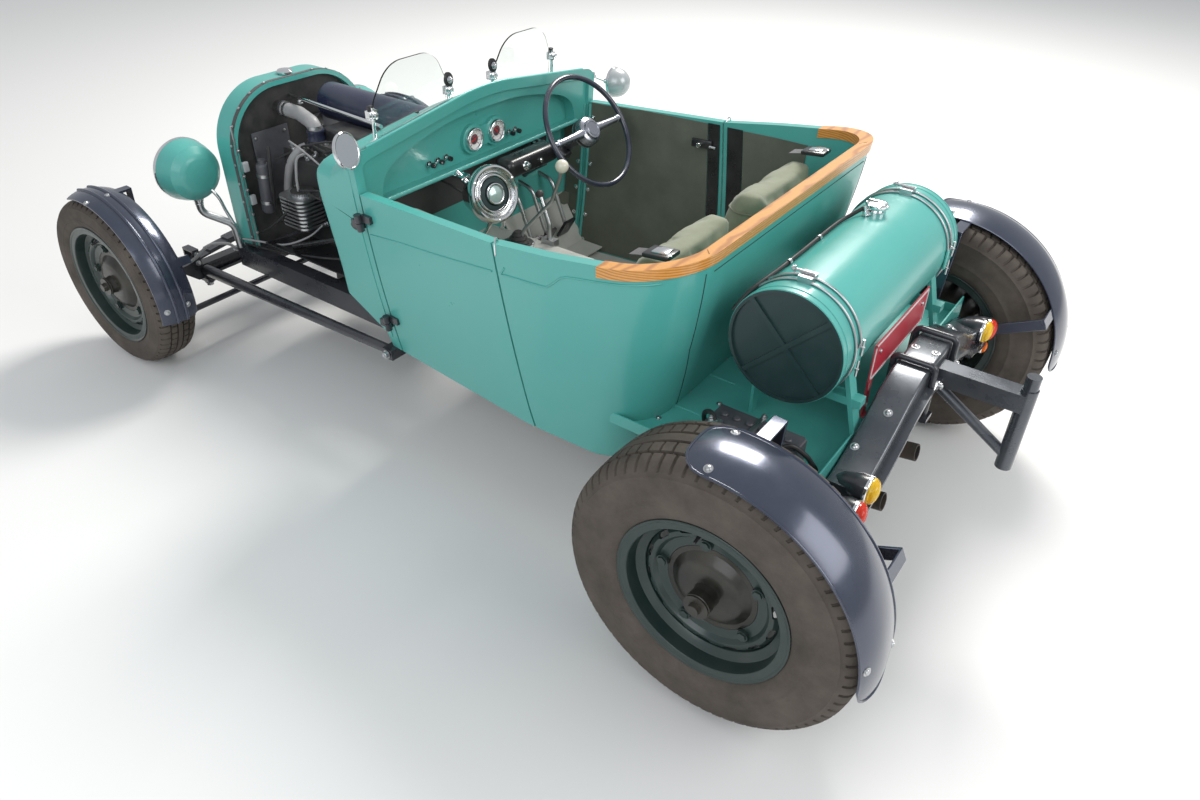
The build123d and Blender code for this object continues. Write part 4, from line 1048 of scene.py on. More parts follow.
@dataclass
class Tyres(Assembly):
    """The four tyres, each a moulded casing with circling ribs and cross grooves."""

    # end, axle X, wheel Y, radius, half-width, half the rim's inside, repeats of the tread
    rows: tuple[tuple[str, float, float, float, float, float, int], ...] = (
        ("front", FRONT_X, FRONT_WHEEL_Y, FRONT_RADIUS, 75.0, 59.7, 62),
        ("rear", 0.0, REAR_WHEEL_Y, REAR_RADIUS, 106.0, 85.7, 70),
    )
    bead: float = 190.3
    flange: float = 206.0
    groove: float = 7.5
    # the radius at which the flanks start, and how far the crown's edge is inside the tyre's
    start: float = 208.0
    inset: float = 32.0
    # the casing's thickness at the crown and flanks, and at the bead
    wall: float = 24.0
    toe: float = 13.0
    # how far the cross grooves bend, as a share of a repeat
    bend: float = 0.16
    # inset from the half-width, and share of the height from the rim to the tread
    flank: tuple[Pair, ...] = (
        (7.5, 0.08), (3.5, 0.16), (1.5, 0.26), (0.8, 0.29), (0.0, 0.3), (0.0, 0.33), (0.8, 0.34), (0.5, 0.43),
        (1.0, 0.53), (2.5, 0.64), (4.5, 0.72), (4.0, 0.733), (4.2, 0.752), (6.5, 0.765), (9.5, 0.81))
    shoulder: tuple[Pair, ...] = ((14.0, 0.868), (22.0, 0.924), (32.0, 0.965))
    # share of the crown's half-width, drop under the tyre's radius, and the row of blocks
    crown: tuple[tuple[float, float, int], ...] = (
        (0.84, 3.0, 1), (0.83, 3.0, 9), (0.72, 2.2, 9), (0.71, 2.2, 2), (0.5, 1.2, 2), (0.3, 0.5, 2), (0.29, 0.5, 9),
        (0.19, 0.2, 9), (0.18, 0.2, 0), (0.0, 0.0, 0))
    # share of a repeat, and the row of blocks that is cut there
    cuts: tuple[tuple[float, int], ...] = (
        (0.07, 1), (0.2, 1), (0.27, 0), (0.55, 0), (0.6, 2), (0.7, 2), (0.75, 0), (1.0, 0))

    def outline(self, radius: float, half: float, inside: float) -> list[tuple[float, float, int]]:
        """One tyre's closed section.

        Args:
            radius: The tyre's radius.
            half: Half of its width.
            inside: Half of the rim's inside width.

        Returns:
            Points as Y, radius and the row of blocks that they are in.
        """
        rise = radius - self.start
        edge = half - self.inset
        left = [(inside, self.bead, 0), (inside, self.flange, 0)]
        left += [(half - inset, self.start + share * rise, 0) for inset, share in self.flank]
        left += [(half - inset, self.start + share * rise, 1) for inset, share in self.shoulder]
        left += [(share * edge, radius - drop, row) for share, drop, row in self.crown]
        right = [(-y, height, row) for y, height, row in reversed(left[:-1])]
        flank = self.start + rise * 0.4
        lining = [(inside - self.toe, self.bead, 0), (half - self.wall, flank, 0), (edge, radius - self.wall, 0)]
        return [*left, *right, *((-y, height, row) for y, height, row in lining), *reversed(lining)]

    def casing(self, radius: float, half: float, inside: float, repeats: int) -> Shape:
        """One tyre about Y, with its ribs and cross grooves.

        Args:
            radius: The tyre's radius.
            half: Half of its width.
            inside: Half of the rim's inside width.
            repeats: How often the tread's pattern repeats.

        Returns:
            The shape.
        """
        section = self.outline(radius, half, inside)
        step = math.tau / repeats
        made = Shape()
        column = made.mesh.verts.layers.int.new("column")

        def place(vert: bmesh.types.BMVert, share: float, cut: int) -> None:
            """Puts one point of the section at a share of the repeat.

            Args:
                vert: The point, which knows its column of the section.
                share: The share of the repeat.
                cut: The row of blocks that is cut there.
            """
            y, height, row = section[vert[column]]
            if row == GROOVE_ROW or (cut and row == cut):
                height -= self.groove
            bend = self.bend * math.sin(y / 16) if row in (1, 2) else 0.0
            turn = step * (share + bend)
            vert.co = (math.sin(turn) * height, y, math.cos(turn) * height)

        verts = []
        for index in range(len(section)):
            vert = made.mesh.verts.new((0, 0, 0))
            vert[column] = index
            place(vert, 0.0, 0)
            verts.append(vert)
        edges = [made.mesh.edges.new(pair) for pair in zip(verts, [*verts[1:], verts[0]])]
        for share, cut in self.cuts:
            grown = bmesh.ops.extrude_edge_only(made.mesh, edges=edges)["geom"]
            edges = [item for item in grown if isinstance(item, bmesh.types.BMEdge)]
            for item in grown:
                if isinstance(item, bmesh.types.BMVert):
                    place(item, share, cut)
        bmesh.ops.spin(made.mesh, geom=made.mesh.faces[:], cent=(0, 0, 0), axis=(0, 1, 0), angle=math.tau - step,
                       steps=repeats - 1, use_duplicate=True, use_merge=False)
        bmesh.ops.remove_doubles(made.mesh, verts=made.mesh.verts, dist=0.02)
        return made.orient()

    def build(self) -> None:
        """Builds the four tyres in place of the plain ones."""
        for end, x, y, radius, half, inside, repeats in self.rows:
            for side in Side:
                casing = self.casing(radius, half, inside, repeats)
                casing.turn(Matrix.Translation((x, side.value * y, radius)))
                tyre = self.piece(f"{end}_tyre_tread_{side.word}", Slot.TYRE, {"rubber": casing}, 38.0,
                                  f"{end}_{side.word}_wheel")
                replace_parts(tyre, f"{end}_tyre_{side.word}")


@dataclass
class WheelTrim(Assembly):
    """The valves on the rims, the hubs' cap rings and the bolts on the mudguards."""

    # end, axle X, wheel Y, radius, height of the disc's face off the wheel's middle
    rows: tuple[tuple[str, float, float, float, float], ...] = (
        ("front", FRONT_X, FRONT_WHEEL_Y, FRONT_RADIUS, 23.0),
        ("rear", 0.0, REAR_WHEEL_Y, REAR_RADIUS, 36.0),
    )
    valve_radius: float = 148.0
    # how far each hub's nose stands off the disc's face
    noses: dict[str, float] = field(default_factory=lambda: {"front": 42.0, "rear": 60.0})
    # Y off the wheel's middle and angle ahead of the top, on the guards
    bolts: dict[str, tuple[Pair, ...]] = field(default_factory=lambda: {
        "rear": ((92.0, 1.8), (-28.0, 3.3), (92.0, -81.0), (-28.0, -86.0)),
        "front": ((44.0, -91.0), (-30.0, -91.0), (58.0, -6.0), (-8.0, -9.0))})

    def valve(self) -> Shape:
        """A rubber valve with its cap, along Z."""
        return lathe(((0, -6), (7, -6), (7, 0), (5, 3), (4.4, 14), (3.6, 16), (3.6, 26), (2.6, 28), (0, 28)), 14)

    def wheel(self, end: str, x: float, y: float, radius: float, face: float, side: Side) -> None:
        """The small pieces of one wheel.

        Args:
            end: The car's end.
            x: The axle's place.
            y: The wheel's middle.
            radius: The tyre's radius.
            face: How far the disc's face stands off the middle.
            side: The car's side.
        """
        outer = side.value * (y + face + self.noses[end])
        valve = self.valve().face((x + 34, side.value * (y + face + 10), radius + self.valve_radius),
                                  (0, side.value, -0.25))
        cap = lathe(((30.5, 0), (31.5, 0), (31.5, 4), (29, 6), (27, 6)), 32).face((x, outer, radius), side.out)
        self.piece(f"{end}_valve_{side.word}", Slot.ENGINE, {"plastic": valve, "hub": cap},
                   body=f"{end}_{side.word}_wheel")

    def guard(self, end: str, node: str, body: str, middle: Point, side: Side) -> None:
        """The bolts of one mudguard, seated on it.

        Args:
            end: The car's end.
            node: The CAD node of the mudguard.
            body: The body that it rides on.
            middle: The left wheel's middle.
            side: The car's side.
        """
        skin = self.skin(node)
        x, y, z = middle
        heads = []
        for shift, angle in self.bolts[end]:
            turn = math.radians(angle)
            outward = Vector((math.sin(turn), 0, math.cos(turn)))
            start = Vector((x, side.value * (y + shift), z)) + outward * 500
            heads.append(skin.seat(bolt(6.5, 5.5), start, -outward))
        self.piece(f"{end}_guard_bolts_{side.word}", Slot.STEEL, {"steel": heads}, body=body)

    def build(self) -> None:
        """Builds the wheels' small pieces."""
        for side in Side:
            for end, x, y, radius, face in self.rows:
                self.wheel(end, x, y, radius, face, side)
            self.guard("rear", "rear_mudguards", "chassis", (0.0, REAR_WHEEL_Y, REAR_RADIUS), side)
            self.guard("front", f"front_mudguard_{side.word}", f"{side.word}_knuckle",
                       (FRONT_X, FRONT_WHEEL_Y, FRONT_RADIUS), side)


@dataclass
class BodyTrim(Assembly):
    """Creases, seams, beads and small fittings on the outside of the tub, cowl and doors."""

    # X and Z of the crease along each side, behind the door, on the door and ahead of it
    crease: tuple[Pair, ...] = (
        (729.0, 801.0), (693.0, 805.0), (621.0, 813.0), (571.0, 820.0), (553.0, 833.0), (527.0, 858.0), (508.0, 866.0),
        (473.0, 872.0), (428.0, 879.0), (380.0, 888.0), (330.0, 896.0), (290.0, 903.0))
    door_crease: tuple[Pair, ...] = ((1226.0, 741.0), (1097.0, 759.0), (937.0, 775.0), (748.0, 799.0))
    # Y and Z of the seam down the tub's rear
    seam: tuple[Pair, ...] = (
        (438.0, 905.0), (435.0, 860.0), (432.0, 813.0), (424.0, 695.0), (395.0, 584.0), (368.0, 499.0), (345.0, 430.0))
    # X, Y off the door's gap and Z of the bends in a clip's wire
    clip: tuple[Point, ...] = ((733, -10, 876), (731, 0, 888), (729, 9, 880), (728, 10, 852), (729, 8, 846))
    bead_radius: float = 2.6

    def bead(self, skin: Skin, points: Sequence[Point], way: Point, radius: float, lift: float = 0.0) -> Shape:
        """A fine rounded bead that follows the surface.

        Args:
            skin: The surface.
            points: Its corners, off the surface.
            way: The direction in which they fall.
            radius: The bead's radius.
            lift: How far its middle stands off.

        Returns:
            The shape.
        """
        return tube(skin.line(between(points), way, lift), radius, 8)

    def side_line(self, rows: Sequence[Pair], side: Side) -> list[Point]:
        """Points well outside one side from X and Z."""
        return [(x, side.value * 900.0, z) for x, z in rows]

    def sides(self) -> None:
        """The creases on both sides of the tub, cowl and doors."""
        tub = self.skin("tub", "timber_rail")
        rear_beads = []
        for side in Side:
            line = self.side_line(self.crease, side)
            rear_beads.append(self.bead(tub, line, side.inward, self.bead_radius, 0.3))
            line = self.side_line(self.door_crease, side)
            bead = self.bead(self.skin(f"door_{side.word}"), line, side.inward, self.bead_radius, 0.3)
            self.piece(f"door_crease_{side.word}", Slot.GREEN, {"green": bead}, 60.0, f"{side.word}_door")
        self.piece("side_creases", Slot.GREEN, {"green": rear_beads}, 60.0)

    def rear(self) -> None:
        """The seams on the tub's rear and the line under the timber."""
        tub = self.skin("tub")
        seams = []
        for side in Side:
            points = [(-600.0, side.value * y, z) for y, z in self.seam]
            seams.append(self.bead(tub, points, AHEAD, 1.3, 0.0))
        points = [(-600.0, y, 902.0) for y in range(-410, 411, 20)]
        seams.append(self.bead(tub, points, AHEAD, 1.2, 0.0))
        self.piece("rear_seams", Slot.GREEN, {"seam": seams}, 60.0)

    def cowl_rim(self) -> None:
        """The rolled bead along the cowl's rear edge, and its rivets."""
        cowl = self.skin("cowl")
        points = [(1247.0, y, 1400.0) for y in range(-470, 471, 12)]
        bead = self.bead(cowl, points, DOWN, 5.0, 1.5)
        heads = [cowl.seat(bolt(3.6, 2.4), (1272.0, y, 1400.0), DOWN) for y in (-430, -300, -150, 0, 150, 300, 430)]
        self.piece("cowl_bead", Slot.GREEN, {"green": bead, "steel": heads}, 60.0)

    def clips(self) -> None:
        """The sprung wire clips over the doors' rear gaps and the black buffers by the hinges."""
        clips = []
        knobs = []
        for side in Side:
            y = side.value * 548.0
            bends = [(x, y + side.value * shift, z) for x, shift, z in self.clip]
            clips.append(tube(smooth_line(bends), 2.2, 8))
            knob = lathe(((0, 0), (15, 0), (17, 4), (15, 11), (9, 14), (0, 14)), 24)
            bmesh.ops.scale(knob.mesh, vec=(0.7, 1.15, 1.0), verts=knob.mesh.verts)
            start = (1275.0, side.value * 900, 756.0)
            knobs.append(self.skin("cowl").seat(knob.spin(90, "Z"), start, side.inward))
        self.piece("door_gap_clips", Slot.CHROME, {"chrome": clips, "plastic": knobs})

    def timber_joints(self) -> None:
        """The scarf joints' dark lines in the timber."""
        skin = self.skin("timber_rail")
        lines = [self.bead(skin, ((238.0, side.value * 430.0, 1100.0), (262.0, side.value * 400.0, 1100.0)), DOWN,
                           0.9, 0.1) for side in Side]
        self.piece("timber_joint_lines", Slot.TIMBER, {"timber_end": lines})

    def build(self) -> None:
        """Builds the body's outside trim."""
        self.sides()
        self.rear()
        self.cowl_rim()
        self.clips()
        self.timber_joints()


@dataclass
class RearGuards(Assembly):
    """The rear mudguards: crowned strips with rounded corners on flat stays from the axle's ends."""

    wheel: Point = (0.0, 692.0, 352.0)
    middle: float = 720.0
    half: float = 80.0
    crown: float = 377.0
    drop: float = 20.0
    ends: Pair = (-97.0, 11.0)
    corner: float = 8.0
    # the share of the half width at which the corners' rounding starts
    straight: float = 0.4
    # the inner edge's drop as a share of the outer one's
    inner: float = 0.7
    stay_angles: Pair = (-4.0, -64.0)

    def spot(self, along: float, across: float) -> Vector:
        """A point of the strip's surface.

        Args:
            along: The share of the way from its rear end to its front end.
            across: The share of its width, from the car's middle outwards.

        Returns:
            The point, on the left side.
        """
        side = across * 2 - 1
        past = max(0.0, (abs(side) - self.straight) / (1 - self.straight))
        cut = self.corner * (1 - math.sqrt(max(0.0, 1 - past * past)))
        low, high = self.ends[0] + cut, self.ends[1] - cut
        turn = math.radians(low + (high - low) * along)
        reach = self.crown - (self.drop if side > 0 else self.drop * self.inner) * side * side
        x, _, z = self.wheel
        return Vector((x + math.sin(turn) * reach, self.middle + side * self.half, z + math.cos(turn) * reach))

    def stay(self, angle: float) -> Shape:
        """One flat arm with its foot under the strip.

        Args:
            angle: How far ahead of the top it points, in degrees.

        Returns:
            The shape.
        """
        arm = block((32, 7, 290), 1.5, 1).move(0, 558, 215)
        foot = block((32, 112, 5), 1.5, 1).move(0, 610, 359.5)
        return joined((arm, foot)).spin(angle, "Y").move(self.wheel[0], 0, self.wheel[2])

    def guard(self) -> Shape:
        """The left mudguard with its rolled edge and stays.

        Returns:
            The shape.
        """
        steps = [step / 40 for step in range(41)]
        edge = [self.spot(share, 1.0) for share in steps] + [self.spot(1.0, 1 - share) for share in steps[1::3]]
        edge += [self.spot(1 - share, 0.0) for share in steps[1:]] + [self.spot(0.0, share) for share in steps[1:-1:3]]
        strip = panel(80, 16, self.spot, 3.0)
        return joined((strip, tube(edge, 3.0, 8, closed=True), *(self.stay(angle) for angle in self.stay_angles)))

    def build(self) -> None:
        """Builds both rear mudguards in place of the plain ones."""
        left = self.guard()
        both = joined((left, left.other_side()))
        guards = self.piece("rear_guards", Slot.BLACK, {"guard": both}, 40.0)
        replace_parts(guards, "rear_mudguards")
        self.nodes["rear_mudguards"] = guards


@dataclass
class CowlSides(Assembly):
    """The cowl's side panels, which run on ahead of the bulkhead to the rolled front edge."""

    rear: float = 1262.0
    # Z and X of the front edge
    front: tuple[Pair, ...] = (
        (401.0, 1424.0), (484.0, 1424.0), (560.0, 1414.0), (640.0, 1411.0), (723.0, 1414.0), (800.0, 1419.0),
        (850.0, 1416.0), (884.0, 1406.0), (922.0, 1391.0), (958.0, 1371.0))
    foot: float = 378.0
    top: float = 956.0
    seam: tuple[Pair, ...] = ((1414.0, 792.0), (1340.0, 779.0), (1262.0, 764.0))
    # the flank up to where the arch starts: Y at the origin, and its change with X, with Z and with Z squared
    flank: tuple[float, float, float, float] = (468.3, -0.08065, 0.28162, -0.00012121)
    arch_z: float = 858.0
    # the CAD cowl's last X, past which the arch is carried on
    solid_x: float = 1352.0
    # the foot's rise: its start, and its slope from an X on
    foot_rise: tuple[float, float, float] = (18.0, 0.62, 1293.0)
    longest: float = 1420.0
    # the share of the length at which the front edge's roll starts, and the roll's radius
    roll_start: float = 0.9
    roll: float = 7.0
    arch: Skin | None = None

    def surface(self, x: float, z: float) -> Vector:
        """The point of the left side at a length and height, which follows the cowl's arch above.

        Args:
            x: The distance ahead of the rear axle.
            z: The height.

        Returns:
            The point.
        """
        base, slant, lean, bulge = self.flank
        if z < self.arch_z:
            return Vector((x, base + slant * x + lean * z + bulge * z * z, z))
        solid = min(x, self.solid_x)
        place, _ = self.arch.hit((solid, 900, z), (0, -1, 0))
        return Vector((x, place.y + slant * (x - solid), z))

    def edge(self, z: float) -> float:
        """The front edge's X at a height.

        Args:
            z: The height.

        Returns:
            The front edge's X.
        """
        rows = self.front
        for (low, start), (high, stop) in zip(rows, rows[1:]):
            if z <= high:
                return start + (stop - start) * max(0.0, z - low) / (high - low)
        return rows[-1][1]

    def spot(self, along: float, up: float) -> Vector:
        """A point of the panel: the last tenth of its length is rolled inwards.

        Args:
            along: The share of the way forward.
            up: The share of the way up.

        Returns:
            The point, on the left side.
        """
        reach = min(along / self.roll_start, 1.0)
        x = self.rear + (self.longest - self.rear) * reach
        rise, slope, from_x = self.foot_rise
        low = max(self.foot, self.foot + rise + (x - from_x) * slope)
        z = low + (self.top - low) * up
        x = self.rear + (self.edge(z) - self.rear) * reach
        place = self.surface(x, z)
        place.y += -0.9 + 1.6 * reach
        turn = max(0.0, along - self.roll_start) / (1 - self.roll_start) * math.pi
        place.x += self.roll * math.sin(turn)
        place.y -= self.roll * (1 - math.cos(turn))
        return place

    def build(self) -> None:
        """Builds both panels with their seam and the dark bead inside their front edge."""
        self.arch = self.skin("cowl")
        skin = panel(40, 44, self.spot, 1.6)
        line: list[Vector] = []
        for (x, z), (ahead, high) in zip(self.seam, self.seam[1:]):
            line += [self.surface(x + (ahead - x) * step / 6, z + (high - z) * step / 6) + Vector((0, 0.6, 0))
                     for step in range(6)]
        seam = tube(line, 1.3, 6)
        strip = tube([self.spot(self.roll_start, step / 24) + Vector((4, -16, 0)) for step in range(25)], 5.0, 8)
        left = {"green": skin, "seam": seam, "hose": strip}
        shapes = {finish: joined((shape, shape.other_side())) for finish, shape in left.items()}
        self.piece("cowl_side_panels", Slot.GREEN, shapes, 50.0)


@dataclass
class SteeringWheel(Assembly):
    """The steering wheel: a thin rim, two round spokes and a broad bright hub."""

    middle: Point = (1065.0, -262.0, 852.0)
    axis: Point = (-1.0, 0.0, 0.7002)
    radius: float = 174.0
    wire: float = 8.4

    def spoke(self) -> Shape:
        """One spoke along X, a little flattened.

        Returns:
            The shape.
        """
        rod = lathe(((0, 26), (17, 26), (17, 34), (14.5, 44), (12.0, 70), (10.5, 118), (10.0, 146), (12.5, 148),
                     (12.5, 156), (8.5, 158), (8.0, 172), (0, 173)), 24)
        bmesh.ops.scale(rod.mesh, vec=(0.72, 1.0, 1.0), verts=rod.mesh.verts)
        return rod.spin(90, "Y")

    def hub(self) -> Shape:
        """The hub about Z with its stepped boss.

        Returns:
            The shape.
        """
        profile = ((0, -32), (40, -32), (43.5, -29), (44, -20), (44, 2), (42, 8), (38, 11), (33, 12), (31.5, 13),
                   (30, 17), (29, 19.6), (24, 20.6), (23, 19.4), (22, 19.4), (21, 20.8), (10, 21), (0, 21))
        return lathe(profile, 56)

    def build(self) -> None:
        """Builds the wheel in place of the plain one."""
        rim = ring(self.radius, self.wire, 96, 14)
        spokes = [self.spoke(), self.spoke().spin(180, "Z")]
        bright = joined((*spokes, self.hub(), lathe(((0, -96), (11, -96), (11, -30), (0, -30)), 20)))
        dark = lathe(((44.2, -24), (45, -23), (45, -16), (44.2, -15), (44.2, -24)), 48)
        shapes = {"rim_black": rim, "satin": bright, "plastic": dark}
        wheel = self.piece("wheel_rim_and_hub", Slot.PLASTIC,
                           {finish: shape.face(self.middle, self.axis) for finish, shape in shapes.items()},
                           body="steering_wheel")
        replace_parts(wheel, "steering_wheel")


@dataclass
class Mirrors(Assembly):
    """The left round mirror, turned to the driver, and the right one in its domed shell, with their stems."""

    left: Point = (1237.0, 539.0, 978.0)
    left_axis: Point = (-0.934, -0.237, 0.266)
    left_foot: Point = (1264.0, 498.0, 925.0)
    right: Point = (1219.0, -622.0, 893.0)
    right_axis: Point = (-0.93, -0.08, 0.06)
    right_foot: Point = (1262.0, -502.0, 935.0)

    def disc(self) -> dict[str, Shape]:
        """The left mirror about Z: a shallow shell, a bright rim and the glass.

        Returns:
            Shapes by finish.
        """
        shell = lathe(((0, -16), (18, -15), (36, -10), (44, -3), (45.5, 2), (45.5, 4), (0, 4)), 56)
        rim = lathe(((42, 4), (43, 6.5), (45, 7), (47, 5), (47.3, 0), (46, -3)), 56)
        glass = lathe(((0, 4.2), (42.3, 4.2), (42.3, 5), (0, 5.8)), 48)
        return {"mirror_shell": shell, "chrome": rim, "mirror_glass": glass}

    def dome(self) -> dict[str, Shape]:
        """The right mirror about Z: a deep domed shell with its rim and the glass in its far side.

        Returns:
            Shapes by finish.
        """
        outline = [(49 * math.cos(math.radians(turn)), 54 * math.sin(math.radians(turn))) for turn in range(0, 90, 9)]
        shell = lathe([(0, -8), (46, -8), (48, -7), (49, -3), *outline, (0, 54)], 56)
        rim = lathe(((45, -11), (48, -11.5), (50.5, -9), (50.8, -3), (49.2, -1)), 56)
        glass = lathe(((0, -8.4), (45, -8.4), (45, -9.2), (0, -11)), 48)
        return {"mirror_shell": shell, "chrome": rim, "mirror_glass": glass}

    def stem(self, foot: Point, middle: Point, end: Point) -> Shape:
        """A bright stem from its foot on the cowl, with a ball joint and a clamp.

        Args:
            foot: Its foot on the cowl.
            middle: Where it bends.
            end: Its end at the mirror.

        Returns:
            The shape.
        """
        stalk = tube(smooth_line((foot, middle, end), 8), 4.6, 12)
        base = lathe(((0, -4), (14, -4), (14, 2), (10, 6), (7, 14), (0, 15)), 24)
        base.face(foot, Vector(middle) - Vector(foot))
        turns = [math.radians(15 * step) for step in range(13)]
        ball = lathe([(9 * math.sin(turn), -9 * math.cos(turn)) for turn in turns], 20).move(*end)
        clamp = nut(6.5, 8).face(Vector(middle) + Vector((0, 0, 3)), UP)
        return joined((stalk, base, ball, clamp))

    def build(self) -> None:
        """Builds both mirrors in place of the plain ones."""
        shapes: dict[str, list[Shape]] = {"mirror_shell": [], "chrome": [], "mirror_glass": []}
        for form, place, axis in ((self.disc(), self.left, self.left_axis), (self.dome(), self.right, self.right_axis)):
            for finish, shape in form.items():
                shapes[finish].append(shape.face(place, axis))
        back = Vector(self.left) - Vector(self.left_axis) * 16
        shapes["chrome"].append(self.stem(self.left_foot, (1268.0, 520.0, 952.0), tuple(back)))
        shapes["chrome"].append(self.stem(self.right_foot, (1258.0, -548.0, 922.0), (1232.0, -584.0, 903.0)))
        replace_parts(self.piece("mirror_pair", Slot.CHROME, shapes), "mirrors")


@dataclass
class Cushion:
    """One padded piece: a closed form that air swells, with piping along its edges."""

    name: str
    size: Point
    place: Point
    lean: float = 0.0
    taper: float = 1.0
    corner: float = 26.0
    voxel: float = 0.007
    pressure: float = 4.0
    stretching: float = 12.0
    bending: float = 0.6
    cap: float = 0.018
    frames: int = 20
    fill: float = 0.8
    # how far the piping lies above the middle, as a share of the height
    seam: float = 0.34

    def start(self) -> Shape:
        """The form before it swells, a little smaller than the finished pad.

        Returns:
            The shape.
        """
        form = block(self.size, self.corner, 4)
        for vert in form.mesh.verts:
            share = vert.co.z / self.size[2] + 0.5
            vert.co.x = vert.co.x * (1 + (self.taper - 1) * share) + self.lean * share
        return form.move(*self.place)

    def remesh(self, thing: bpy.types.Object) -> None:
        """Gives the form an even mesh.

        Args:
            thing: The pad.
        """
        step = thing.modifiers.new("even", "REMESH")
        step.mode = "VOXEL"
        step.voxel_size = self.voxel
        self.settle(thing)

    def settle(self, thing: bpy.types.Object) -> None:
        """Applies the object's modifiers to its mesh.

        Args:
            thing: The pad.
        """
        graph = bpy.context.evaluated_depsgraph_get()
        made = bpy.data.meshes.new_from_object(thing.evaluated_get(graph), depsgraph=graph)
        thing.modifiers.clear()
        thing.data = made

    def swell(self, thing: bpy.types.Object) -> None:
        """Blows the pad up as cloth and caps how far each point moves.

        Args:
            thing: The pad.
        """
        before = [vert.co.copy() for vert in thing.data.vertices]
        cloth = thing.modifiers.new("cloth", "CLOTH")
        cloth.settings.quality = 4
        cloth.settings.tension_stiffness = self.stretching
        cloth.settings.compression_stiffness = self.stretching
        cloth.settings.bending_stiffness = self.bending
        cloth.settings.use_pressure = True
        cloth.settings.uniform_pressure_force = self.pressure
        cloth.settings.effector_weights.gravity = 0.0
        cloth.point_cache.frame_start = 1
        cloth.point_cache.frame_end = self.frames
        scene = bpy.context.scene
        for frame in range(1, self.frames + 1):
            scene.frame_set(frame)
        self.settle(thing)
        scene.frame_set(1)
        for vert, old in zip(thing.data.vertices, before):
            moved = vert.co - old
            if moved.length > self.cap:
                vert.co = old + moved.normalized() * self.cap

    def piping(self, skin: Skin, height: float) -> Shape:
        """A piped seam round the pad, dropped onto its sides at one share of the height.

        Args:
            skin: The pad's surface.
            height: The share of the pad's height over its middle.

        Returns:
            The shape.
        """
        middle = Vector(self.place) + Vector((self.lean * (height + 0.5), 0, self.size[2] * height))
        turns = [math.tau * step / 72 for step in range(72)]
        ways = [Vector((math.cos(turn) * self.size[0], math.sin(turn) * self.size[1], 0)) for turn in turns]
        spots = [skin.hit(middle + way * 3, -way) for way in ways]
        return tube([place + normal * 1.5 for place, normal in spots], 3.2, 8, closed=True)

    def build(self, cabin: Assembly) -> bpy.types.Object:
        """Builds the pad.

        Args:
            cabin: The sub-assembly that it is a part of.

        Returns:
            The finished pad.
        """
        pad = cabin.piece(self.name, Slot.SEAT, {"seat_cloth": self.start()}, 60.0)
        self.remesh(pad)
        self.swell(pad)
        cabin.finishes.put(pad, "seat_cloth")
        pad.data.polygons.foreach_set("use_smooth", [True] * len(pad.data.polygons))
        cabin.piece(f"{self.name}_piping", Slot.SEAT, {"piping": self.piping(Skin(pad), self.seam)}, 60.0)
        return pad


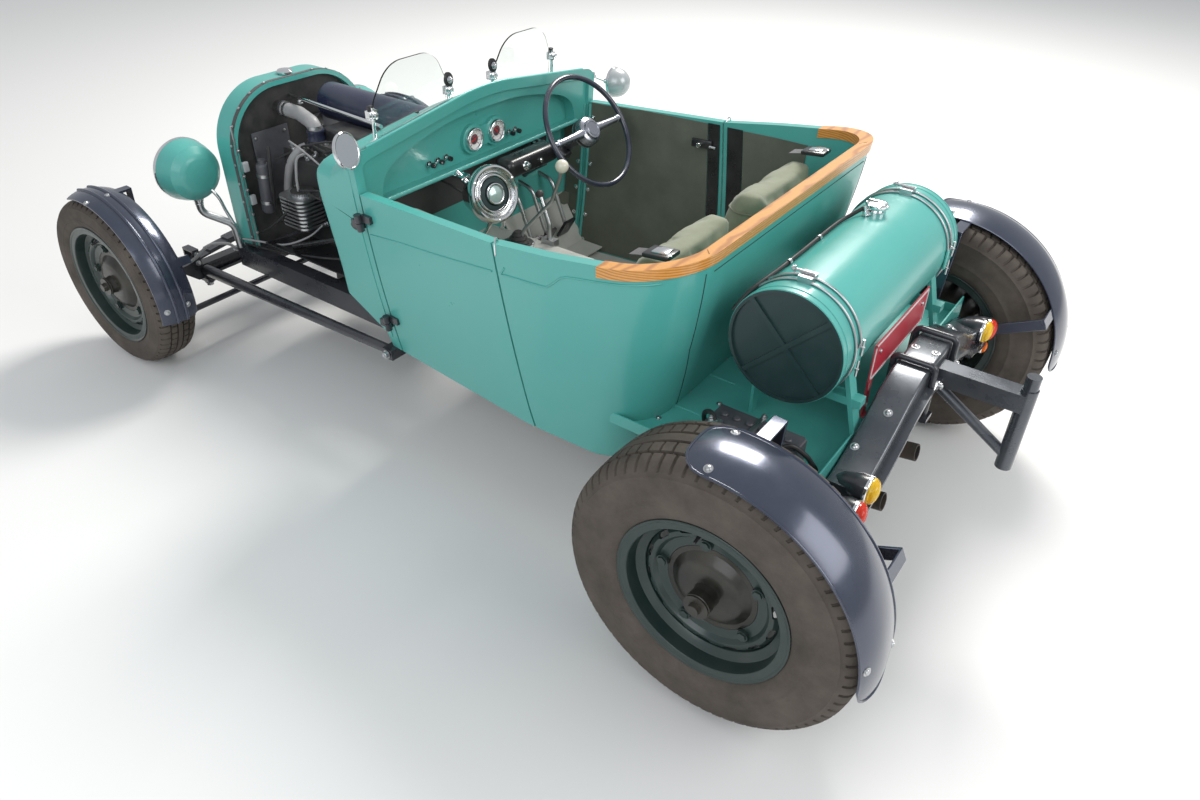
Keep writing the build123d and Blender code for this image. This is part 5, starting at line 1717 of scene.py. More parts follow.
@dataclass
class Cabin(Assembly):
    """The seats, the lining of the walls and footwells, the latches, the belts and the tunnel's fittings."""

    # X of the rear edge at the foot and at the top, the same of the front edge, then the foot's and top's Z
    door_card: tuple[float, ...] = (734.0, 790.0, 1222.0, 1222.0, 352.0, 864.0)
    door_post: tuple[float, ...] = (692.0, 748.0, 732.0, 788.0, 352.0, 866.0)
    cowl_card: tuple[float, ...] = (1254.0, 1254.0, 1326.0, 1326.0, 356.0, 846.0)
    tub_card: tuple[float, ...] = (470.0, 452.0, 606.0, 668.0, 356.0, 862.0)
    tub_post: tuple[float, ...] = (608.0, 670.0, 662.0, 722.0, 356.0, 864.0)
    thickness: float = 3.0

    def height(self, skin: Skin, x: float, side: Side, top: float) -> float:
        """The highest Z up to a limit at which the wall still stands.

        Args:
            skin: The wall.
            x: The length at which it is looked for.
            side: The car's side.
            top: The limit.

        Returns:
            The height.
        """
        while top > 700:
            place, _ = skin.hit((x, 0, top), side.out)
            if max(abs(place.x - x), abs(place.z - top)) < 1:
                break
            top -= 4
        return top

    def card(self, skin: Skin, edges: tuple[float, ...], side: Side, columns: int = 16, rows: int = 14) -> Shape:
        """A thin lining panel that follows the inside of a wall.

        Args:
            skin: The wall.
            edges: The panel's edges.
            side: The car's side.
            columns: Faces along it.
            rows: Faces up it.

        Returns:
            The shape.
        """
        rear_low, rear_top, front_low, front_top, low, top = edges
        made = Shape()
        bmesh.ops.create_grid(made.mesh, x_segments=columns, y_segments=rows, size=0.5)
        for vert in made.mesh.verts:
            across, up = vert.co.x + 0.5, vert.co.y + 0.5
            rear = rear_low + (rear_top - rear_low) * up
            ahead = front_low + (front_top - front_low) * up
            x = rear + (ahead - rear) * across
            edge = rear_top + (front_top - rear_top) * across
            z = low + (self.height(skin, edge, side, top) - low) * up
            place, normal = skin.hit((x, 0, z), side.out)
            vert.co = place + normal * 0.6
        inward = -side.value
        made.orient()
        made.mesh.normal_update()
        if made.mesh.faces[:][0].normal.y * inward < 0:
            bmesh.ops.reverse_faces(made.mesh, faces=made.mesh.faces)
        bmesh.ops.solidify(made.mesh, geom=made.mesh.faces[:], thickness=-self.thickness)
        return made

    def strip(self, skin: Skin, x: float, side: Side) -> Shape:
        """An upright studded strip on the inside of a wall.

        Args:
            skin: The wall.
            x: Its distance ahead of the rear axle.
            side: The car's side.

        Returns:
            The shape.
        """
        points = [(x, 0, z) for z in range(352, int(self.height(skin, x, side, 864.0)), 16)]
        line = skin.line(points, side.out, 3.0)
        return tube(line, 5.0, 8)

    def studs(self, skin: Skin, x: float, side: Side) -> Shape:
        """The domed studs beside a strip."""
        return joined(skin.seat(bolt(5.0, 5.0), (x, 0, z), side.out, 3.2)
                      for z in (380, 470, 560, 650, 740, 806))

    def lining(self) -> None:
        """The panels and strips on both sides."""
        cards = []
        posts = []
        strips = []
        studs = []
        tub = self.skin("tub")
        cowl = self.skin("cowl")
        for side in Side:
            cards += [self.card(cowl, self.cowl_card, side, 4), self.card(tub, self.tub_card, side, 8)]
            posts.append(self.card(tub, self.tub_post, side, 4))
            strips.append(self.strip(cowl, 1249.0, side))
            studs.append(self.studs(cowl, 1262.0, side))
            door = self.skin(f"door_{side.word}")
            self.piece(f"door_lining_{side.word}", Slot.SEAT,
                       {"card": self.card(door, self.door_card, side), "green": self.strip(door, 1227.0, side),
                        "plastic": self.card(door, self.door_post, side, 3),
                        "chrome": self.studs(door, 1214.0, side)}, body=f"{side.word}_door")
        self.piece("wall_lining", Slot.SEAT, {"card": cards, "plastic": posts, "green": strips, "chrome": studs})

    def latches(self) -> None:
        """The doors' sliding latches inside their tops."""
        for side in Side:
            skin = self.skin(f"door_{side.word}")
            place, normal = skin.hit((800.0, 0, 800.0), side.out)
            case = block((70, 26, 10), 2.5).face(place + normal * 9, normal)
            rod = tube([place + normal * 12 + Vector((shift, 0, -4)) for shift in (-30, -52)], 4.5)
            knob = lathe(((0, 0), (4, 0), (4, 10), (8, 14), (9, 20), (7, 25), (0, 26)), 20)
            knob.face(place + normal * 13, normal)
            self.piece(f"door_latch_{side.word}", Slot.CHROME, {"plastic": case, "chrome": (rod, knob)},
                       body=f"{side.word}_door")

    def belts(self) -> None:
        """The belts' straps and buckles where they come over the seats' backs."""
        webs = []
        metal = []
        black = []
        for side in Side:
            y = side.value * 404.0
            webs.append(block((96, 42, 2.4), 1.0, 1).spin(12, "Y").move(398, y, 894))
            black.append(block((70, 54, 12), 4.0).spin(6, "Y").move(372, y, 900))
            metal.append(block((40, 34, 7), 2.5).spin(6, "Y").move(368, y, 907))
            metal.append(lathe(((0, 0), (7, 0), (7, 5), (5, 8), (0, 8)), 16).move(344, y + side.value * 10, 903))
        self.piece("belts", Slot.SEAT, {"webbing": webs})
        self.piece("belt_buckles", Slot.CHROME, {"chrome": metal, "plastic": black})

    def tunnel(self) -> None:
        """The gear lever's gaiter and its screwed ring."""
        folds = ((42, 0), (43, 4), (34, 10), (36, 14), (27, 21), (29, 25), (20, 33), (21, 36), (12, 46), (0, 46))
        gaiter = lathe(folds, 32).move(1146, 0, 541)
        collar = lathe(((42, 0), (54, 0), (54, 3), (50, 6), (42, 6)), 32).move(1150, 0, 539.5)
        screws = [bolt(3.2, 2.6).move(1150 + 48 * math.cos(turn), 48 * math.sin(turn), 545)
                  for turn in (0.5, 2.1, 3.7, 5.3)]
        self.piece("lever_gaiter", Slot.PLASTIC, {"gaiter": gaiter, "steel": (collar, *screws)})

    def carpet(self) -> None:
        """The pale lining that climbs from the floor to the bulkhead on both sides of the tunnel, and a dark sheet
        across the bulkhead under the dash that is painted shade.
        """
        def spot(side: Side, along: float, across: float) -> Vector:
            """A point of one side's lining.

            Args:
                side: The car's side.
                along: The share of the way forward.
                across: The share of the way outwards.

            Returns:
                The point.
            """
            bend = min(1.0, along / 0.35)
            x = 1130 + 85 * bend + 112 * max(0.0, along - 0.35) / 0.65
            z = 372 + 6 * bend + 182 * max(0.0, along - 0.35) / 0.65
            return Vector((x, side.value * (118 + 316 * across), z))

        linings = [panel(20, 10, lambda along, across, side=side: spot(side, along, across), 5.0) for side in Side]
        # A dark sheet across the bulkhead under the dash: painted shade
        back = self.skin("cowl").hit((1210, 150, 680), AHEAD)[0].x - 3.0
        pad = block((3, 760, 226), 1.0, 1).move(back, 0, 678)
        self.piece("toe_linings", Slot.CARPET, {"floor_pan": linings, "webbing": pad})

    def build(self) -> None:
        """Builds the cabin's pieces."""
        pads = []
        for side in Side:
            y = side.value
            base = Cushion(f"seat_base_{side.word}", (330, 362, 96), (630, y * 222, 436))
            back = Cushion(f"seat_back_{side.word}", (92, 352, 358), (502, y * 232, 695), -102, 0.72, 24.0)
            pads += [base.build(self), back.build(self)]
        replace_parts(pads[0], "seats")
        self.lining()
        self.latches()
        self.belts()
        self.carpet()
        self.tunnel()


@dataclass
class Dash(Assembly):
    """The two gauges, the round lamp, the switches, the column's cover and the wires under the cowl."""

    gauge_y: Pair = (38.0, -62.0)
    gauge_z: float = 864.0
    face_x: float = 1270.6
    radius: float = 27.0
    marks: int = 11
    switch_y: tuple[float, ...] = (-130, -160, 150, 185, 220)
    key_y: tuple[float, ...] = (-205, -232)
    # radius and the bends of the loom and of the gauges' drives
    runs: tuple[Run, ...] = (
        (4.5, ((1300, 38, 850), (1330, 60, 820), (1350, 120, 770), (1352, 200, 700))),
        (3.4, ((1300, -62, 850), (1325, -90, 810), (1345, -110, 750), (1360, -118, 680))),
        (3.4, ((1290, 180, 830), (1320, 120, 812), (1330, 20, 806), (1325, -90, 808), (1300, -160, 822))),
        (3.4, ((1180, 150, 752), (1215, 150, 742), (1260, 160, 760), (1310, 190, 790))))

    def gauge(self, y: float, angle: float) -> dict[str, Shape]:
        """One gauge's face, marks, hand and bezel.

        Args:
            y: Its place across the dash.
            angle: How far its hand is turned, in degrees.

        Returns:
            Shapes by finish.
        """
        face = lathe(((0, 0), (self.radius, 0), (self.radius, 0.4), (0, 0.4)), 40)
        core = lathe(((0, 0.5), (14.5, 0.5), (15.5, 0.9), (14.5, 1.3), (0, 1.3)), 40)
        blocks = [block((5.0, 3.4, 0.5)).move(11.0, 0, 1.5).spin(turn, "Z") for turn in (20, 75, 130, 190, 300)]
        marks = []
        for index in range(self.marks):
            turn = 225 - 270 * index / (self.marks - 1)
            long = index % 5 == 0
            mark = block((7.0 if long else 4.5, 2.0 if long else 1.2, 0.4)).move(self.radius - 6, 0, 0.7)
            marks.append(mark.spin(turn, "Z"))
        hand = plate(((-6, -1.8), (20, -0.7), (20, 0.7), (-6, 1.8)), 0.5).move(0, 0, 2.0).spin(angle, "Z")
        cap = lathe(((0, 0.4), (3.4, 0.4), (3.0, 3), (0, 3.2)), 20)
        bezel = lathe(((27, 0), (27, 4), (28.5, 7), (31, 8.2), (33.4, 7), (35.4, 3), (35.4, -1), (34, -1)), 48)
        place = (self.face_x, y, self.gauge_z)
        turned = {"dial": face, "ink": joined(marks), "slate": core, "red_hand": hand.add(cap, *blocks),
                  "chrome": bezel}
        return {finish: shape.face(place, BACK) for finish, shape in turned.items()}

    def gauges(self) -> None:
        """Both gauges."""
        for name, y, angle in (("speed", self.gauge_y[0], 205.0), ("revs", self.gauge_y[1], 140.0)):
            self.piece(f"{name}_gauge", Slot.CHROME, self.gauge(y, angle))

    def lamp(self) -> None:
        """The round lamp under the dash: its stepped rings, dark inner ring, middle, rim and feet."""
        place = (1104.0, 152.0, 770.0)
        axis = (-0.86, 0.16, 0.30)
        rim = lathe(((66, 6.5), (67, 12), (70, 17), (75, 19.5), (80, 17), (83, 10), (84, 2), (83.5, -5), (81, -9),
                     (78, -9)), 64)
        rings = [lathe(((reach - 4, 6.4), (reach - 2.6, high - 1), (reach, high), (reach + 2.6, high - 1),
                        (reach + 4, 6.4)), 56) for reach, high in ((61, 12), (52, 14.5), (28, 20))]
        bowl = lathe(((66, 6.8), (48, 6.8), (47, 6.4)), 56)
        dark = lathe(((47.5, 6.4), (46, 10.5), (34, 12.5), (31, 6.4)), 48)
        middle = lathe(((26, 6.4), (25.5, 14), (22, 18), (12, 21), (0, 22)), 48)
        screws = [bolt(3.2, 2.8).move(75 * math.cos(turn), 75 * math.sin(turn), 19) for turn in (0.4, 2.5, 4.6)]
        feet = [tube(((x, -78, -14), (x * 1.3, -96, -26), (x * 1.4, -108, -44)), 7.0, 12) for x in (-22, 22)]
        shapes = {"chrome": rim.add(bowl, *rings, *screws, *feet), "seam": dark, "pale_glass": middle}
        self.piece("dash_lamp_glass", Slot.CHROME,
                   {finish: shape.face(place, axis) for finish, shape in shapes.items()})

    def switches(self) -> None:
        """The knobs and switches along the dash's lower edge, and a key barrel."""
        stalk = ((0, 0), (10, 0), (10, 3), (4, 4), (3, 14), (0, 15))
        knob = ((0, 14), (7, 14), (8, 18), (7, 25), (0, 26))
        key = ((0, 0), (5, 0), (5, 16), (9, 18), (9, 24), (0, 25))
        bright = [lathe(stalk, 18).face((1284, y, 838), BACK) for y in self.switch_y]
        bright += [lathe(key, 18).face((1246, y, 792), (-1, 0, -0.2)) for y in self.key_y]
        black = [lathe(knob, 18).face((1284, y, 838), BACK) for y in self.switch_y]
        self.piece("dash_switches", Slot.CHROME, {"chrome": bright, "plastic": black})

    def cover(self) -> None:
        """The glossy black cover under the dash, which reaches to the column, with its bright switch."""
        case = block((74, 236, 58), 20.0, 4).move(1208, -128, 768)
        case.add(block((60, 44, 40), 10.0, 3).spin(-35, "Y").move(1160, -240, 772))
        switch = lathe(((0, 0), (13, 0), (14, 4), (10, 10), (9, 16), (0, 18)), 24)
        barrel = lathe(((0, 0), (8, 0), (8, 6), (5, 8), (0, 8)), 20)
        self.piece("column_cover", Slot.PLASTIC,
                   {"plastic": case, "chrome": (switch.face((1171, -78, 770), (-1, 0.1, 0.25)),
                                                barrel.face((1171, -150, 768), (-1, 0, 0.1)))})

    def wires(self) -> None:
        """The loom and the speedometer's drive behind the dash, fixed at both ends."""
        self.piece("dash_wires", Slot.PLASTIC, {"hose": [hose(run, radius) for radius, run in self.runs]}, 60.0)

    def build(self) -> None:
        """Builds the dash's pieces."""
        self.gauges()
        self.lamp()
        self.switches()
        self.cover()
        self.wires()


@dataclass
class Screens(Assembly):
    """The clamps at the feet of the two small screens."""

    # Y of each screen's middle, and how far its clamps are from there
    middles: Pair = (247.0, -226.0)
    reach: float = 143.0
    # a clamp nearer to the car's middle than this has a lug
    lug_y: float = 200.0

    def build(self) -> None:
        """Builds the clamps and thumbscrews at the screens' feet."""
        black = []
        bright = []
        turns = [step / 8 * math.pi for step in range(16)]
        lug = [(17 * math.cos(turn), 20 * math.sin(turn) + 10) for turn in turns]
        for y in (middle + way * self.reach for middle in self.middles for way in (-1, 1)):
            screw = lathe(((0, 0), (8, 0), (9, 3), (9, 7), (5, 9), (5, 16), (0, 17)), 20)
            bright.append(screw.face((1292, y, 1022), (-1, 0, 0.1)))
            bright.append(lathe(((0, 0), (16, 0), (16, 3), (10, 6), (0, 7)), 24).move(1297, y, 1010))
            if abs(y) < self.lug_y:
                black.append(plate(lug, 6.0, 1.5).face((1292, y, 1040), (-1, 0, 0.15)))
                bright.append(nut(8, 5).face((1286, y, 1050), (-1, 0, 0.15)))
            else:
                black.append(block((14, 16, 16), 3.0).move(1299, y, 1036))
        self.piece("screen_clamps", Slot.CHROME, {"plastic": black, "chrome": bright})


@dataclass
class EngineBay(Assembly):
    """The plugs, leads, hoses, clips and plates that show round the engine and radiator."""

    top: float = 690.0
    first_plug: float = 1596.0
    plug_gap: float = 108.0
    # X and Y of the cap that the plugs' leads run to
    post: Pair = (1620.0, 92.0)
    # the pale hoses, the dark ones, the black wires and the pale ones
    pale_hoses: tuple[Run, ...] = (
        (15.0, ((1975, 128, 712), (1990, 150, 700), (2040, 160, 640), (2100, 150, 520), (2150, 120, 430))),
        (9.0, ((1560, 120, 660), (1500, 150, 700), (1452, 170, 740), (1420, 176, 760))),
        (8.0, ((1700, -60, 742), (1600, -150, 760), (1480, -210, 770), (1430, -230, 780))))
    dark_hoses: tuple[Run, ...] = (
        (4.5, ((1440, 240, 700), (1520, 240, 640), (1640, 232, 600), (1800, 246, 610), (1905, 220, 600))),
        (5.0, ((1940, 250, 560), (1990, 262, 500), (2070, 262, 440), (2140, 262, 400))),
        (3.2, ((1430, 100, 800), (1560, 60, 812), (1700, 30, 790), (1740, 24, 770))),
        (4.0, ((1400, 296, 560), (1520, 300, 500), (1700, 296, 440), (2000, 290, 372), (2200, 300, 352))))
    black_wires: tuple[Run, ...] = (
        (4.0, ((1598, 196, 706), (1700, 190, 730), (1850, 170, 742), (1960, 140, 720), (2080, 190, 660))),
        (3.4, ((1560, 236, 652), (1640, 250, 668), (1780, 246, 640), (1900, 240, 610))),
        (7.0, ((2104, 190, 700), (2080, 214, 640), (2090, 216, 540), (2110, 200, 450), (2130, 150, 400))),
        (3.4, ((1510, 236, 652), (1470, 250, 690), (1430, 262, 720))))
    pale_wires: tuple[Run, ...] = (
        (3.2, ((2010, 152, 716), (1990, 180, 742), (1900, 200, 736), (1800, 204, 700), (1760, 190, 650))),
        (3.6, ((1880, 190, 470), (1900, 240, 440), (1990, 280, 400), (2110, 300, 386), (2200, 306, 372))),
        (5.0, ((1930, 162, 706), (1936, 200, 700), (1938, 214, 640), (1940, 216, 590))))
    # place and direction of the hoses' clips and of the unions
    clips: tuple[tuple[Point, Point], ...] = (
        ((1960, 90, 742), UP), ((1960, 90, 772), (0.1, 0, 1)), ((2120, 70, 795), AHEAD),
        ((2140, 70, 795), AHEAD))
    unions: tuple[tuple[Point, Point], ...] = (
        ((2100, 30, 812), UP), ((2010, 150, 700), (0, 0.5, 1)), ((1930, 160, 690), (0, 0.6, 1)),
        ((1880, 170, 470), LEFT), ((1560, 236, 640), UP), ((1510, 236, 640), UP))
    # radius and Z of the two pulleys that the belt runs round, with their shared X
    pulleys: tuple[Pair, ...] = ((40.0, 606.0), (58.0, 430.0))
    belt_x: float = 2040.0
    # the radiator shell's half width, top, corner radius and foot
    shell: tuple[float, float, float, float] = (291.5, 891.5, 206.0, 352.0)

    def plugs(self) -> None:
        """Four spark plugs with their leads to a cap on the head."""
        bright = []
        leads = []
        post_x, post_y = self.post
        cap = lathe(((0, 0), (34, 0), (34, 20), (30, 34), (26, 36), (0, 37)), 28).move(post_x, post_y, self.top + 40)
        way = Vector((0, 0.7, 0.7))
        for index in range(4):
            place = Vector((self.first_plug + index * self.plug_gap, 136, self.top + 6))
            bright.append(lathe(((0, 0), (12, 0), (12, 9), (8, 11), (7, 24), (0, 26)), 14).face(place, way))
            leads.append(lathe(((0, 20), (9, 20), (10, 30), (7, 46), (5, 48), (0, 48)), 14).face(place, way))
            end = place + way * 46
            turn = index * 1.57
            post = Vector((post_x + 16 * math.cos(turn), post_y + 16 * math.sin(turn), self.top + 74))
            leads.append(lathe(((0, -8), (7, -8), (7, 4), (0, 5)), 12).move(*post))
            middle = (end + post) / 2 + Vector((0, 14 + 5 * index, 34))
            leads.append(tube(smooth_line((end - way * 4, end + way * 16, middle, post + Vector((0, 0, 16)), post), 7),
                              3.6, 8))
        self.piece("spark_plugs", Slot.ENGINE, {"steel": bright, "hose": leads, "plastic": cap})

    def head(self) -> None:
        """The head's nuts, the rocker cover with its cap and the block's side plates."""
        cover = block((400, 96, 40), 12.0, 3).move(1762, 20, self.top + 56)
        cap = lathe(((0, 0), (24, 0), (25, 4), (25, 12), (20, 18), (0, 19)), 24).move(1690, 20, self.top + 75)
        nuts = [nut(7, 7).move(x, y, self.top + 40) for x in range(1560, 2000, 84) for y in (-64, 104)]
        rims = [block((420, 6, 5), 1.5).move(1762, y, self.top + 42) for y in (-30, 70)]
        sides = [block((110, 5, 90), 2.0).move(x, y, 560) for x in (1600, 1740, 1830) for y in (152, -152)]
        bolts = [nut(5, 5).face((x + dx, y, 560 + dz), (0, y, 0)) for x in (1600, 1740) for y in (154.0, -154.0)
                 for dx in (-45, 45) for dz in (-36, 36)]
        self.piece("rocker_cover", Slot.ENGINE, {"engine": (cover, *rims, *sides), "steel": (cap, *nuts, *bolts)})

    def hoses(self) -> None:
        """The water hoses with their housing and clips, the heater pipes, the throttle link and the fuel line."""
        band = ((24.5, -5), (26.5, -5), (26.5, 5), (24.5, 5))
        clips = [lathe(band, 28).face(place, way) for place, way in self.clips]
        pale = [hose(run, radius, 10) for radius, run in self.pale_hoses]
        dark = [hose(run, radius) for radius, run in self.dark_hoses]
        house = lathe(((0, 0), (34, 0), (36, 6), (30, 14), (27, 40), (30, 44), (30, 52), (0, 54)), 28)
        house.move(1960, 90, self.top + 22)
        self.piece("bay_hoses", Slot.ENGINE, {"pale_hose": pale, "hose": dark, "steel": clips, "navy": house}, 50.0)

    def radiator(self) -> None:
        """The shroud plates, the overflow bottle, the brackets, the drain pipe and the shell's bolts."""
        plates = [block((4, 150, 250), 2.0).move(2168, y, 610) for y in (128, -128)]
        rivets = [bolt(4, 3).face((2166, y, z), BACK) for y in (70, 190, -70, -190) for z in (505, 610, 715)]
        bottle = lathe(((0, 0), (20, 0), (23, 5), (23, 172), (20, 180), (14, 184), (14, 194), (0, 195)), 24)
        bottle.spin(-6, "Y").move(2128, 222, 470)
        band = ((23.4, -6), (24.6, -6), (24.6, 6), (23.4, 6))
        straps = [lathe(band, 24).spin(-6, "Y").move(2128 - up * 0.105, 222, 470 + up) for up in (40, 140)]
        tabs = [block((14, 20, 34), 2.0).move(2150, side.value * 262, z) for side in Side for z in (520, 640)]
        drain = hose(((2160, 60, 372), (2120, 62, 366), (2104, 70, 392), (2108, 74, 430)), 8.0, 10)
        rim = [block((6, 6, 440), 2.0).move(2152, side.value * 281, 566) for side in Side]
        studs = [bolt(4, 4).face((2149, side.value * 276, z), BACK) for side in Side
                 for z in (400, 470, 560, 610, 700)]
        self.piece("radiator_fittings", Slot.CORE,
                   {"slate": (*plates, bottle), "steel": (*rivets, *straps, *studs, *rim), "pale_tab": tabs,
                    "pale_hose": drain}, 40.0)

    def cap(self) -> None:
        """The radiator's filler cap on top of the shell."""
        cap = lathe(((0, -6), (19, -6), (19, 0), (27, 2), (28, 8), (24, 13), (12, 15), (0, 15.5)), 32)
        self.piece("radiator_cap", Slot.CHROME, {"chrome": cap.move(2198, 0, 890)})

    def fan(self) -> None:
        """The fan on the engine's nose with its belt."""
        hub = lathe(((0, 0), (30, 0), (32, 4), (32, 22), (24, 30), (0, 32)), 28)
        blades = [block((92, 40, 2.4), 1.0, 1).spin(24, "X").move(78, 0, 18).spin(turn, "Z")
                  for turn in (20, 110, 200, 290)]
        whole = joined((hub, *blades)).face((2046, 0, 606), AHEAD)
        run = []
        for (radius, z), start in zip(self.pulleys, (0, 180)):
            turns = [math.radians(start + 20 * step) for step in range(10)]
            run += [Vector((self.belt_x, radius * math.cos(turn), z + radius * math.sin(turn))) for turn in turns]
        self.piece("engine_fan", Slot.ENGINE, {"slate": whole, "gaiter": tube(run, 6.0, 8, closed=True)})

    def wiring(self) -> None:
        """The coil, the control box, small unions, the runs of wire round the engine, a strut and a low dark sheet by
        the engine's side that is painted shade.
        """
        coil = lathe(((0, 0), (27, 0), (28, 3), (28, 92), (24, 98), (10, 100), (9, 118), (0, 119)), 24)
        coil.spin(90, "Y").move(1480, 196, 706)
        box = block((86, 40, 70), 6.0).move(1530, 214, 610)
        neck = ((0, 8), (6, 8), (6, 22), (0, 22))
        unions = [joined((nut(9, 10), lathe(neck, 14))).face(place, way) for place, way in self.unions]
        black = [hose(run, radius) for radius, run in self.black_wires]
        pale = [hose(run, radius) for radius, run in self.pale_wires]
        # A dark sheet low by the engine's side: painted shade, so that the bay shows dark there
        painted_shade_pan = block((560, 176, 4), 1.5, 1).spin(8, "X").move(1780, 222, 386)
        strut = tube(((1420, 250, 640), (1640, 262, 520), (1950, 270, 400)), 9.0, 12)
        self.piece("bay_wiring", Slot.ENGINE,
                   {"steel": (coil, *unions), "plastic": (box, painted_shade_pan, strut), "hose": black, "pale_hose": pale}, 40.0)

    def lace(self) -> None:
        """The black lacing strip round the shell's rear edge, with its rivets."""
        half, top, corner, foot = self.shell
        turns = [math.radians(9 * step) for step in range(11)]
        path = [Vector((0, half, foot + (top - corner - foot) * step / 10)) for step in range(10)]
        path += [Vector((0, half - corner + corner * math.cos(turn), top - corner + corner * math.sin(turn)))
                 for turn in turns]
        path += [Vector((0, -place.y, place.z)) for place in reversed(path)]
        count = len(path) - 1

        def spot(along: float, across: float) -> Vector:
            """A point of the strip.

            Args:
                along: The share of the way round the shell.
                across: The share of its width, from the rear.

            Returns:
                The point.
            """
            index = min(int(along * count + 0.001), count - 1)
            place = path[index].lerp(path[index + 1], min(1.0, along * count - index))
            return place + Vector((2152 + 17 * across, 0, 0))

        strip = panel(count, 2, spot, 2.0)
        heads = []
        for index in range(1, count, 2):
            way = Vector((0, 1 if path[index].y > 0 else -1, 0))
            if path[index].z > top - corner:
                way = Vector((0, path[index].y - math.copysign(half - corner, path[index].y),
                              path[index].z - top + corner))
            heads.append(bolt(3.2, 2.6).face(path[index] + way.normalized() * 1.4 + Vector((2160.5, 0, 0)), way))
        self.piece("shell_lacing", Slot.PLASTIC, {"webbing": strip, "steel": heads}, 40.0)

    def build(self) -> None:
        """Builds the engine bay's pieces."""
        self.plugs()
        self.head()
        self.hoses()
        self.radiator()
        self.lace()
        self.fan()
        self.wiring()
        self.cap()


@dataclass
class FrontEnd(Assembly):
    """The headlamps' rims and fittings, and the nuts, rod ends and pipes of the axle."""

    lamp: Point = (2300.0, 390.0, 632.0)
    # the headlamp cable's bends, off the lamp's middle, with Y towards the outside
    cable: tuple[Point, ...] = ((-60, -30, -60), (-78, -44, -96), (-70, -62, -150), (-76, -78, -210), (-80, -84, -262))
    # the brake hose's bends on the left side
    brake_hose: tuple[Point, ...] = (
        (2256, 312, 322), (2262, 336, 346), (2290, 390, 352), (2310, 440, 316), (2322, 490, 300), (2334, 530, 312),
        (2346, 560, 336))

    def lamps(self) -> None:
        """Chrome rims, the fittings under the bowls and the cables in their tubes."""
        bright = []
        for side in Side:
            x, y, z = self.lamp[0], side.value * self.lamp[1], self.lamp[2]
            rim = lathe(((97, 30), (99, 33), (104, 32), (107, 26), (107, 18), (105.5, 14)), 64)
            bright.append(rim.face((x, y, z), AHEAD))
            foot = lathe(((0, 0), (22, 0), (24, 4), (20, 10), (16, 22), (0, 24)), 24)
            bright.append(foot.face((x - 20, y, z - 88), DOWN))
            bright.append(nut(12, 12).face((x - 20, y, z - 116), DOWN))
            bright.append(hose([(x + dx, y + side.value * dy, z + dz) for dx, dy, dz in self.cable], 6.0, 10))
        self.piece("headlamp_fittings", Slot.CHROME, {"chrome": bright}, 40.0)

    def nuts(self) -> None:
        """Nuts and bolts on the axle, the springs' clamps, the rods' ends and the crossmember."""
        fixed = []
        for side in Side:
            y = side.value
            fixed.append(nut(14, 12).face((2362, y * 385, 182), DOWN))
            fixed.append(nut(11, 10).face((1280, y * 474, 318), (0, y, 0)))
            fixed += [nut(9, 9).move(FRONT_X + dx, y * dy, 380) for dx in (-36, 36) for dy in (22, 38)]
            fixed += [nut(8, 7).face((FRONT_X + way * 31, y * 411, z), (way, 0, 0)) for way in (1, -1)
                      for z in (268, 302)]
            fixed += [bolt(7, 5).move(2228, y * dy, 334) for dy in (270, 296)]
        self.piece("front_nuts", Slot.STEEL, {"steel": fixed})
        for side in Side:
            y = side.value
            cap = lathe(((0, 0), (23, 0), (24, 3), (20, 8), (8, 11), (0, 11)), 24).move(FRONT_X, y * 548, 355)
            fitting = nut(10, 14).face((2250, y * 548, 228), UP)
            self.piece(f"knuckle_caps_{side.word}", Slot.STEEL, {"steel": (cap, fitting)}, body=f"{side.word}_knuckle")

    def pipes(self) -> None:
        """The brake hoses, which run between the frame and the knuckles."""
        for side in Side:
            y = side.value
            run = [(bend_x, y * bend_y, bend_z) for bend_x, bend_y, bend_z in self.brake_hose]
            ends = joined((nut(8, 12).face(run[0], (-0.2, -y, -1)), nut(8, 12).face(run[-1], (0.3, y, 0.3))))
            shapes = {"pale_hose": hose(run, 5.5, 10), "steel": ends}
            thing = self.piece(f"brake_hose_{side.word}", Slot.ENGINE, shapes, body=None)
            tuple(at(*run[2]))
            tuple(at(*run[5]))
            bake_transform(thing)

    def build(self) -> None:
        """Builds the front end's pieces."""
        self.lamps()
        self.nuts()
        self.pipes()


